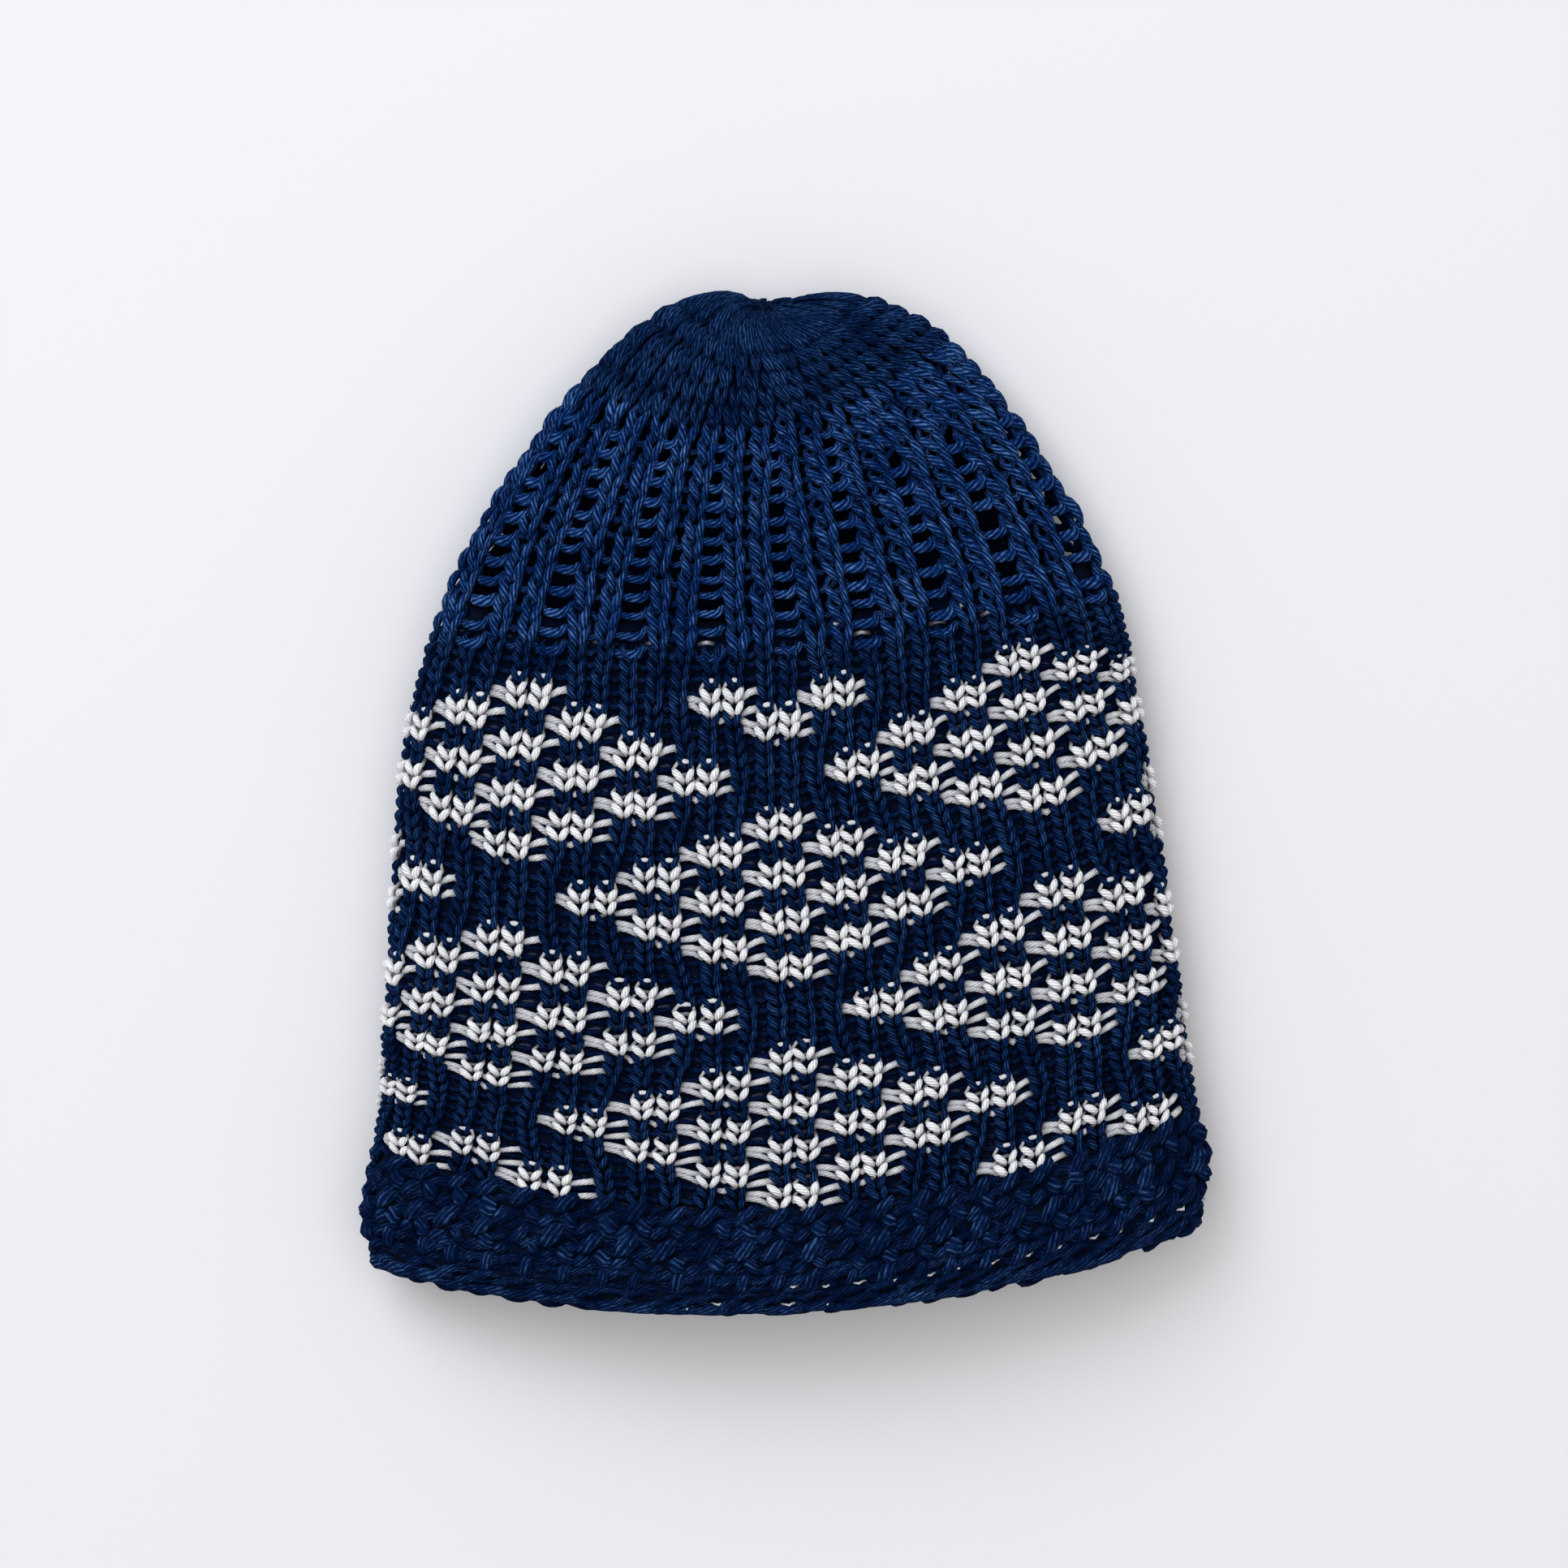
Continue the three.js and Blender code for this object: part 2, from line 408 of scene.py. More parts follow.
@dataclass(frozen=True)
class Fabric:
    """Flat knitted fabric and the way it lies on the cap, with the places where it was tugged aside."""

    form: CapForm = field(default_factory=CapForm)
    sides: int = 6
    # How far the yarn runs on from a stitch's edge within one knot, in millimetres.
    edge_speed: float = 1.5
    pulls: tuple = (
        Pull(column=-11, reach=6.5, along=20, height=75, shift=-1.0),
        Pull(column=-8, reach=7, along=155, height=30, shift=0.25),
        Pull(column=9, reach=7, along=155, height=35, shift=-0.4),
        Pull(column=5, reach=4, along=85, height=40, shift=-0.2),
    )

    def drift_at(self, column: np.ndarray, along: np.ndarray) -> np.ndarray:
        """How far stitches are moved round the cap: the sum of the pulls, each fading as a bell does.

        Args:
            column: places in stitch widths from the front's middle.
            along: heights up the cap.

        Returns:
            The moves to the right, in stitch widths.
        """
        place = (column + STITCHES / 2) % STITCHES - STITCHES / 2
        moved = np.zeros(np.broadcast(column, along).shape)
        for pull in self.pulls:
            across = (place - pull.column) / pull.reach
            up = (along - pull.along) / pull.height
            moved = moved + pull.shift * np.exp(-(across**2) - up**2)
        return moved

    def rings(self, rows: Rows, path: YarnPath, radius: float, swell: np.ndarray) -> np.ndarray:
        """Rings round the yarn of every stitch of some rows.

        The yarn's middle is a smooth curve through the path's knots. A ring's first direction starts square
        to the fabric at the stitch's left edge and is carried along the curve without turning. What turn is
        left at the right edge is spread over the stitch, so that neighbours meet without a twist.

        Args:
            rows: where the stitches are.
            path: the yarn's way through a stitch.
            radius: the yarn's radius in millimetres.
            swell: thickness of each stitch's yarn as a share of the usual one.

        Returns:
            Points of the rings, rows by stitches by samples by sides, on flat fabric. The end is left
            out, because it is the next stitch's start.
        """
        width = self.form.stitch_width(rows.along)
        table = path.table
        knots = np.broadcast_to(table, rows.column.shape + table.shape).copy()
        left_edge = [rows.left, rows.at_left(rows.edge_height), rows.at_left(rows.edge_depth)]
        knots[..., 0, :3] = np.stack(left_edge, -1)
        knots[..., -1, :3] = np.stack([rows.right, rows.edge_height, rows.edge_depth], -1)
        for beside, edge in ((1, 0), (-2, -1)):
            pull = path.follow * (knots[..., edge, 1:3] - table[edge, 1:3])
            knots[..., beside, 1:3] += pull
        knots[..., 2] += table[:, 4] * rows.rise[..., None]
        inside = knots[..., 1:-1, :]
        inside[..., 2] -= rows.sink[..., None]
        slant = inside[..., 1] * np.clip(1 - inside[..., 1] ** 2, 0, 1)
        inside[..., 0] += rows.lean[..., None] * slant
        knots[..., 0] *= width[..., None]
        knots[..., 1] *= rows.pitch[..., None]
        inner, first, last = path_weights(len(table), path.places)
        steepness = np.stack([rows.at_left(rows.edge_steepness), rows.edge_steepness], -1)
        slope = np.zeros(rows.column.shape + (2, 5))
        slope[..., 0] = self.edge_speed
        slope[..., 1] = self.edge_speed * steepness
        curve = np.einsum("sk,rckv->rcsv", inner, knots)
        curve += first[:, None] * slope[..., None, 0, :] + last[:, None] * slope[..., None, 1, :]
        middle, thickness = curve[..., :3], curve[..., 3]
        tangent = np.gradient(middle, axis=2)
        tangent[..., 0, :] = slope[..., 0, :3]
        tangent[..., -1, :] = slope[..., 1, :3]
        tangent /= np.linalg.norm(tangent, axis=-1, keepdims=True)
        facing = np.zeros_like(tangent)
        facing[..., 0, 2] = 1
        for step in range(1, facing.shape[2]):
            carried, way = facing[..., step - 1, :], tangent[..., step, :]
            carried = carried - way * (carried * way).sum(-1, keepdims=True)
            facing[..., step, :] = carried / np.linalg.norm(carried, axis=-1, keepdims=True)
        beside = np.cross(tangent, facing)
        left_over = np.arctan2(beside[..., -1, 2], facing[..., -1, 2])
        spread = left_over[..., None] * np.linspace(0, 1, facing.shape[2])
        angle = spread[..., None] + 2 * np.pi * np.arange(self.sides) / self.sides
        reach = (radius * swell[..., None] * thickness)[..., None, None]
        rim = facing[..., None, :] * np.cos(angle)[..., None]
        rim = rim + beside[..., None, :] * np.sin(angle)[..., None]
        rings = middle[..., None, :] + reach * rim
        return rings[..., :-1, :, :]

    def lay(self, rows: Rows, rings: np.ndarray) -> np.ndarray:
        """The rings' points on the cap in metres, each with its depth in the fabric in millimetres.

        Args:
            rows: where the stitches are.
            rings: the points on flat fabric.

        Returns:
            Points with their depths, in the same order.
        """
        width = self.form.stitch_width(rows.along)[..., None, None]
        column = rows.column[..., None, None]
        along = rows.along[..., None, None] + rings[..., 1]
        share = column + rings[..., 0] / width + self.drift_at(column, along)
        placed = self.form.place(share / STITCHES, along, rings[..., 2]) * MM
        return np.concatenate([placed, rings[..., 2:]], -1)

    def knit(
        self,
        rows: Rows,
        stitch: YarnPath,
        radius: float,
        swell: np.ndarray,
        other: YarnPath | None = None,
        own: np.ndarray | None = None,
    ) -> "YarnMesh":
        """Knits closed rounds of yarn.

        Args:
            rows: where the stitches are.
            stitch: the yarn's way through a stitch.
            radius: the yarn's radius in millimetres.
            swell: thickness of each stitch's yarn as a share of the usual one.
            other: its way past the stitches that it doesn't make, with no more samples than stitch has.
            own: which stitches it makes. Without this it makes all of them.

        Returns:
            The yarn's skin.
        """
        laid = self.lay(rows, self.rings(rows, stitch, radius, swell))
        used = stitch.used(rows.resting)
        if own is not None:
            passing = self.lay(rows, self.rings(rows, other, radius, swell))
            short = passing.shape[2]
            laid[:, :, :short] = np.where(own[..., None, None, None], laid[:, :, :short], passing)
            used = np.where(own[..., None], used, np.arange(laid.shape[2]) < short)
        return YarnMesh.of_rounds(laid, used)

    def knit_inwards(
        self, rows: Rows, stitch: YarnPath, radius: float, swell: np.ndarray, by: float
    ) -> "YarnMesh":
        """Knits closed rounds that are set back into the wall by a distance and face inwards.

        Args:
            rows: where the stitches are.
            stitch: the yarn's way through a stitch.
            radius: the yarn's radius in millimetres.
            swell: thickness of each stitch's yarn as a share of the usual one.
            by: the distance in millimetres.

        Returns:
            The yarn's skin.
        """
        rings = self.rings(rows, stitch, radius, swell)
        rings[..., 2] = -by - rings[..., 2]
        laid = self.lay(rows, rings[..., ::-1, :])
        return YarnMesh.of_rounds(laid, stitch.used(rows.resting))


@dataclass
class YarnMesh:
    """The skin of closed yarn rounds: vertices, four-sided faces, and a map along and round the yarn.

    Each vertex is a point in metres and its depth in the fabric in millimetres.
    """

    points: np.ndarray
    faces: np.ndarray
    uv: np.ndarray

    @classmethod
    def of_rounds(cls, laid: np.ndarray, used: np.ndarray) -> "YarnMesh":
        """Skins rounds of yarn, one closed tube for each row.

        Args:
            laid: points with their depths, rows by stitches by samples by sides.
            used: which samples belong to the yarn, rows by stitches by samples.

        Returns:
            The tubes. The map runs along the yarn in millimetres, and once round it.
        """
        count_in_row = used.reshape(len(used), -1).sum(1)
        rings = laid[used]
        total, sides = rings.shape[:2]
        following = np.arange(total) + 1
        ends = np.cumsum(count_in_row)
        following[ends - 1] = ends - count_in_row
        vertex = np.arange(total * sides).reshape(total, sides)
        turned = np.roll(vertex, -1, 1)
        faces = np.stack([vertex, turned, turned[following], vertex[following]], -1).reshape(-1, 4)
        centre = rings[..., :3].mean(1)
        step = np.linalg.norm(centre[following] - centre, axis=1) / MM
        start = np.cumsum(step) - step
        side = np.arange(sides) / sides
        u = np.stack([start, start, start + step, start + step], -1)[:, None, :].repeat(sides, 1)
        v = np.stack([side, side + 1 / sides, side + 1 / sides, side], -1)[None].repeat(total, 0)
        return cls(rings.reshape(-1, 4), faces, np.stack([u, v], -1).reshape(-1, 2))

    @classmethod
    def join(cls, meshes: list["YarnMesh"]) -> "YarnMesh":
        """Several skins as one.

        Args:
            meshes: the skins.

        Returns:
            One skin that holds them all, in their order.
        """
        shift = np.cumsum([0] + [len(mesh.points) for mesh in meshes[:-1]])
        return cls(
            np.concatenate([mesh.points for mesh in meshes]),
            np.concatenate([mesh.faces + by for mesh, by in zip(meshes, shift)]),
            np.concatenate([mesh.uv for mesh in meshes]),
        )

    def without_loose_points(self) -> "YarnMesh":
        """The same skin, with only the points that its faces use."""
        kept, faces = np.unique(self.faces, return_inverse=True)
        return YarnMesh(self.points[kept], faces.reshape(self.faces.shape), self.uv)

    def to_piece(
        self, name: str, material: bpy.types.Material, slot: Slot, nodes: tuple
    ) -> bpy.types.Object:
        """Makes the shown piece, which stands for the frame's nodes and takes the given finish.

        Args:
            name: the piece's name.
            material: its finish.
            slot: not used.
            nodes: the frame's nodes that it stands for.

        Returns:
            The piece.
        """
        mesh = bpy.data.meshes.new(name)
        mesh.vertices.add(len(self.points))
        mesh.vertices.foreach_set("co", self.points[:, :3].astype(np.float32).ravel())
        mesh.loops.add(self.faces.size)
        mesh.loops.foreach_set("vertex_index", self.faces.astype(np.int32).ravel())
        mesh.polygons.add(len(self.faces))
        mesh.polygons.foreach_set("loop_start", np.arange(0, self.faces.size, 4, dtype=np.int32))
        mesh.update(calc_edges=True)
        mesh.polygons.foreach_set("use_smooth", np.ones(len(self.faces), bool))
        mesh.uv_layers.new(name="yarn").data.foreach_set("uv", self.uv.astype(np.float32).ravel())
        # Share of covering fibres and painted shade, from the yarn's depth in the fabric.
        inset = np.clip((-self.points[:, 3] - SHALLOW) / (DEEP - SHALLOW), 0, 1).astype(np.float32)
        mesh.attributes.new("inset", "FLOAT", "POINT").data.foreach_set("value", inset)
        mesh.materials.append(material)
        piece = bpy.data.objects.new(name, mesh)
        bpy.context.scene.collection.objects.link(piece)
        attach(piece, "root")
        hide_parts(*nodes)
        LOG.info("%s: %d triangles", name, 2 * len(self.faces))
        return piece


# ---- Finishes ----


def linear(code: str) -> tuple[float, float, float, float]:
    """A hex colour as linear light: sRGB's curve undone, with full cover.

    Args:
        code: a hash and six digits.

    Returns:
        Red, green, blue and cover, from 0 to 1.
    """
    share = np.array([int(code[i : i + 2], 16) / 255 for i in (1, 3, 5)])
    light = np.where(share <= 0.04045, share / 12.92, ((share + 0.055) / 1.055) ** 2.4)
    return (*light.tolist(), 1.0)


def add_node(tree: bpy.types.NodeTree, kind: str, settings: dict, links: dict) -> bpy.types.Node:
    """Adds a node.

    Args:
        tree: the node tree.
        kind: the node's type name, without its prefix.
        settings: values of its attributes, or of its inputs where the key is a number or an input's name.
        links: what to join to its inputs, by the input's number or name: an output socket, or a node, which
            stands for its first output.

    Returns:
        The node.
    """
    node = tree.nodes.new("ShaderNode" + kind)
    for key, value in settings.items():
        if isinstance(key, int) or key in node.inputs:
            node.inputs[key].default_value = value
        else:
            setattr(node, key, value)
    for key, source in links.items():
        socket = source.outputs[0] if isinstance(source, bpy.types.Node) else source
        tree.links.new(socket, node.inputs[key])
    return node


def new_material(name: str) -> tuple[bpy.types.Material, bpy.types.NodeTree]:
    """A new material and its node tree, which is still empty.

    Args:
        name: the material's name.

    Returns:
        The material and its tree.
    """
    made = bpy.data.materials.new(name)
    made.use_nodes = True
    made.node_tree.nodes.clear()
    return made, made.node_tree


@dataclass(frozen=True)
class SpunYarn:
    """Spun acrylic yarn of several strands twisted together: matt, softly fuzzy, with slanting strand lines.

    Deep in the fabric its colour turns to that of the fibres that lie over it there and to painted shade.
    turn is the length of yarn in which a strand winds round it once, and relief the height of strands and
    fibres, in millimetres. ply and patch_share say how much strands and patches count against single fibres.
    grain stretches the fibres' noise along the strands. patches is how many patches of more or less brushed
    yarn lie in a metre, about one for each stitch. tones and loose are the heights between which colour goes
    from dark to light, painted shade in the furrows and painted light on the strands, and from that to pale
    stray fibre ends, a painted highlight.
    """

    name: str
    light: str
    dark: str
    inset: str
    tip_highlight: str
    sheen: str
    sheen_weight: float
    strands: int = 6
    turn: float = 13.0
    ply: float = 0.17
    relief: float = 0.5
    relief_strength: float = 0.8
    grain: tuple = (1.9, 0.6, 1.0)
    patches: float = 130.0
    patch_share: float = 0.45
    tones: tuple = (0.50, 1.02)
    tip_highlight_range: tuple = (0.82, 1.2)
    roughness: float = 0.82
    specular: float = 0.02
    sheen_roughness: float = 0.45

    def material(self) -> bpy.types.Material:
        """The finish as a material. Lines wind round the yarn, one turn in a few millimetres along it.

        Returns:
            The material, with colour between the dark of the furrows, painted shade, and the light of the
            strands, painted light, that fibre and patch noise also vary at random.
        """
        made, tree = new_material(self.name)
        uv = add_node(tree, "UVMap", {"uv_map": "yarn"}, {})
        place = add_node(tree, "TexCoord", {}, {})
        parts = add_node(tree, "SeparateXYZ", {}, {0: uv})
        twist = {"operation": "MULTIPLY", 1: self.strands / self.turn}
        along = add_node(tree, "Math", twist, {0: parts})
        winding = {"operation": "MULTIPLY_ADD", 1: float(self.strands)}
        wound = add_node(tree, "Math", winding, {0: parts.outputs[1], 2: along})
        turned = add_node(tree, "Math", {"operation": "MULTIPLY", 1: 2 * np.pi}, {0: wound})
        strand = add_node(tree, "Math", {"operation": "SINE"}, {0: turned})
        hairs_at = add_node(tree, "CombineXYZ", {}, {0: wound, 1: parts})
        # Fibres run with the strands. Single ones are too fine to show, so the noise is of their tufts,
        # about half a millimetre broad and under two long.
        stretch = add_node(tree, "Mapping", {"Scale": self.grain}, {"Vector": hairs_at})
        fibres = {"Scale": 1.0, "Detail": 3.0, "Roughness": 0.7}
        hairs = add_node(tree, "TexNoise", fibres, {"Vector": stretch})
        brushed = {"Scale": self.patches, "Detail": 2.0, "Roughness": 0.5}
        patches = add_node(tree, "TexNoise", brushed, {"Vector": place.outputs["Object"]})
        by_ply = {"operation": "MULTIPLY_ADD", 1: self.ply}
        height = add_node(tree, "Math", by_ply, {0: strand, 2: hairs})
        by_patch = {"operation": "MULTIPLY_ADD", 1: self.patch_share}
        tone = add_node(tree, "Math", by_patch, {0: patches, 2: height})
        # Colour goes from dark to light with the strands' height: painted shade in the furrows and painted
        # light on the strands, with random tone from fibres and patches.
        tones = {"From Min": self.tones[0], "From Max": self.tones[1]}
        shade = add_node(tree, "MapRange", tones, {"Value": tone})
        light = {"data_type": "RGBA", 6: linear(self.dark), 7: linear(self.light)}
        colour = add_node(tree, "Mix", light, {0: shade})
        # Stray fibre ends stand out paler where the strands are highest, as a painted highlight.
        ends = {"From Min": self.tip_highlight_range[0], "From Max": self.tip_highlight_range[1]}
        tip_highlight_range = add_node(tree, "MapRange", ends, {"Value": tone})
        tip_highlight = {"data_type": "RGBA", 7: linear(self.tip_highlight)}
        fuzzy = add_node(tree, "Mix", tip_highlight, {0: tip_highlight_range, 6: colour.outputs[2]})
        # Deep yarn is mixed towards the colour of the fibres over it and towards painted shade.
        deep = add_node(tree, "Attribute", {"attribute_name": "inset"}, {})
        covered_and_shaded = {"data_type": "RGBA", 7: linear(self.inset)}
        sunk = add_node(tree, "Mix", covered_and_shaded, {0: deep.outputs["Fac"], 6: fuzzy.outputs[2]})
        relief = {"Strength": self.relief_strength, "Distance": self.relief * MM}
        bump = add_node(tree, "Bump", relief, {"Height": height})
        surface = {
            "Roughness": self.roughness,
            "Specular IOR Level": self.specular,
            "Sheen Weight": self.sheen_weight,
            "Sheen Roughness": self.sheen_roughness,
            "Sheen Tint": linear(self.sheen),
        }
        skin = add_node(tree, "BsdfPrincipled", surface, {"Base Color": sunk.outputs[2], "Normal": bump})
        add_node(tree, "OutputMaterial", {}, {"Surface": skin})
        return made


@dataclass(frozen=True)
class MattedYarn:
    """The matted inner side: dull fibres with a low knuckle for each stitch.

    relief is the knuckles' height in millimetres. hairs is how many tufts of fibres lie in a metre, drawn
    about a millimetre broad because single fibres are too fine to show, and hair_share is how much they
    count against the knuckles. unevenness is how far the knuckles stray from their places.
    """

    name: str
    colour: str
    relief: float = 0.9
    relief_strength: float = 0.9
    unevenness: float = 0.35
    hairs: float = 900.0
    hair_share: float = 0.35
    roughness: float = 0.95
    specular: float = 0.1

    def material(self) -> bpy.types.Material:
        """The finish as a material, with knuckles and loose fibres in its relief."""
        made, tree = new_material(self.name)
        uv = add_node(tree, "UVMap", {"uv_map": "yarn"}, {})
        place = add_node(tree, "TexCoord", {}, {})
        purled = {"Scale": 1.0, "Randomness": self.unevenness, "feature": "SMOOTH_F1"}
        knuckles = add_node(tree, "TexVoronoi", purled, {"Vector": uv})
        fine = {"Scale": self.hairs, "Detail": 3.0}
        hairs = add_node(tree, "TexNoise", fine, {"Vector": place.outputs["Object"]})
        by_hair = {"operation": "MULTIPLY_ADD", 1: self.hair_share}
        height = add_node(tree, "Math", by_hair, {0: hairs, 2: knuckles.outputs["Distance"]})
        relief = {"Strength": self.relief_strength, "Distance": self.relief * MM}
        bump = add_node(tree, "Bump", relief, {"Height": height})
        surface = {
            "Base Color": linear(self.colour),
            "Roughness": self.roughness,
            "Specular IOR Level": self.specular,
        }
        skin = add_node(tree, "BsdfPrincipled", surface, {"Normal": bump})
        add_node(tree, "OutputMaterial", {}, {"Surface": skin})
        return made


# Spun acrylic, dyed navy: painted soft blue light on the raised strands, painted shade near black in the
# furrows.
NAVY_YARN = SpunYarn("spun_acrylic_navy", "#143c78", "#000a2e", "#000a28", "#6488b8", "#2a66b0", 0.05)
# The same yarn, coloured darker and duller, for the body and the crown.
DARKER_NAVY_YARN = SpunYarn("spun_acrylic_darker_navy", "#0e2b58", "#000822", "#000824", "#3d6091", "#2a66b0", 0.03)
# The band's thicker acrylic, a deeper navy with coarse soft strands.
BAND_YARN = replace(
    SpunYarn("spun_acrylic_deep_navy", "#0b2450", "#00061c", "#000720", "#4a6c9a", "#2a66b0", 0.03),
    strands=8,
    turn=18.0,
    ply=0.12,
)
# Spun acrylic left white: warm white strands with faintly grey furrows of painted shade, and blue-grey where
# it lies deep, from navy fibres over it and painted shade.
WHITE_YARN = replace(
    SpunYarn("spun_acrylic_white", "#ffffff", "#c6c8d2", "#2c3048", "#ffffff", "#ffffff", 0.25),
    turn=8.0,
    ply=0.24,
)
# Matted navy fibres behind the stitches, without any sheen, coloured near black as painted shade in the gaps
# between stitches.
INNER_NAVY_IN_SHADE = MattedYarn("inner_navy_painted_shade", "#00081f")
# The same fibres, darker still as painted shade, inside the band, the openwork and the crown, where hardly
# any light comes.
INNER_DEEP_SHADE = MattedYarn("inner_deep_painted_shade", "#00071a")


# ---- The knitting ----

# Samples of half a stitch, counted in knots, and which of the whole stitch's are enough in the resting wall.
HALF_STITCH_SAMPLES = (0, 1.2, 2.2, 3.0, 3.65, 4.3, 5.0, 5.8, 6.9, 8.0)
HALF_STITCH_FEW = (0, 2, 3, 5, 6, 8, 9, 10, 12, 13, 15, 16)

# A plain stitch: from the edge behind the row below, out through its loop, up the front as a leg like a
# grain of rice, back over the shoulder and behind the row above. The legs stand steeply and close.
PLAIN_STITCH = YarnPath(
    knots=(
        (-0.50, -0.95, -2.3, 0.82, 0.0),
        (-0.30, -0.84, -2.8, 0.80, 0.0),
        (-0.10, -0.62, -2.6, 0.74, 0.0),
        (-0.10, -0.40, -1.45, 0.84, 0.0),
        (-0.165, -0.04, -0.88, 1.08, 0.0),
        (-0.235, 0.30, -1.20, 0.94, 0.0),
        (-0.265, 0.58, -2.20, 0.76, 0.0),
        (-0.17, 0.98, -2.80, 0.80, 0.5),
        (0.00, 1.10, -2.70, 0.80, 1.0),
    ),
    samples=HALF_STITCH_SAMPLES,
    mirrored=True,
    follow=0.55,
    few=HALF_STITCH_FEW,
)

# A stitch of the pattern: shorter and plumper legs, spread by the yarn carried behind its neighbours.
SPREAD_STITCH = YarnPath(
    knots=(
        (-0.50, -0.95, -2.1, 1.08, 0.0),
        (-0.30, -0.84, -2.8, 0.92, 0.0),
        (-0.080, -0.62, -2.6, 0.58, 0.0),
        (-0.085, -0.40, -1.30, 0.84, 0.0),
        (-0.190, -0.03, -0.62, 1.20, 0.0),
        (-0.285, 0.30, -0.95, 0.94, 0.0),
        (-0.325, 0.52, -2.20, 0.56, 0.0),
        (-0.21, 1.04, -2.95, 0.62, 0.75),
        (0.00, 1.07, -2.90, 0.74, 1.0),
    ),
    samples=HALF_STITCH_SAMPLES,
    mirrored=True,
    follow=0.55,
    few=HALF_STITCH_FEW,
)

# Yarn carried behind a stitch of the other colour.
CARRIED_YARN = YarnPath(
    knots=(
        (-0.50, -0.5, -4.0, 1.12, 0.0),
        (-0.30, -0.4, -4.3, 1.08, 0.0),
        (0.00, -0.3, -4.4, 0.90, 1.0),
        (0.30, -0.4, -4.3, 1.08, 0.0),
        (0.50, -0.5, -4.0, 1.12, 0.0),
    ),
    samples=(0, 0.7, 1.4, 2.0, 2.6, 3.3, 4),
    follow=1.05,
)


@dataclass(frozen=True)
class Lozenges:
    """The pattern: lozenges of sixteen blocks, two stitches by two rows each, in two staggered sets.

    rows and repeat are the pattern's height and the distance between lozenges, in rows and in stitches. Each
    of the sets is its lozenges' middle column and the block row of its first middle. Its next ones lie
    set_height block rows further up. reach is how many block rows a lozenge has on either side of its middle.
    """

    rows: int = 44
    repeat: int = 18
    set_height: int = 10
    sets: tuple = ((0, 3), (9, -2))
    reach: int = 3

    def white(self, rows: int) -> np.ndarray:
        """Which stitches are white.

        A lozenge's middle block row holds four blocks, four stitches apart. Each block row above and below
        holds one less, and starts two stitches further in.

        Args:
            rows: number of rows of the body.

        Returns:
            True for each white stitch, rows by the 54 stitches from the front's middle to the right.
        """
        column = np.arange(STITCHES) + 0.5
        chart = np.zeros((rows, STITCHES), bool)
        for middle, first in self.sets:
            for centre in range(first, self.rows // 2 + self.reach, self.set_height):
                for away in range(-self.reach, self.reach + 1):
                    block = centre + away
                    if not 0 <= block < self.rows // 2:
                        continue
                    half = self.reach - abs(away)
                    blocks = middle + 2 * np.arange(-half, half + 1, 2)
                    gap = (column[:, None] - blocks + self.repeat / 2) % self.repeat - self.repeat / 2
                    chart[2 * block : 2 * block + 2] |= (np.abs(gap) < 1).any(1)
        return chart


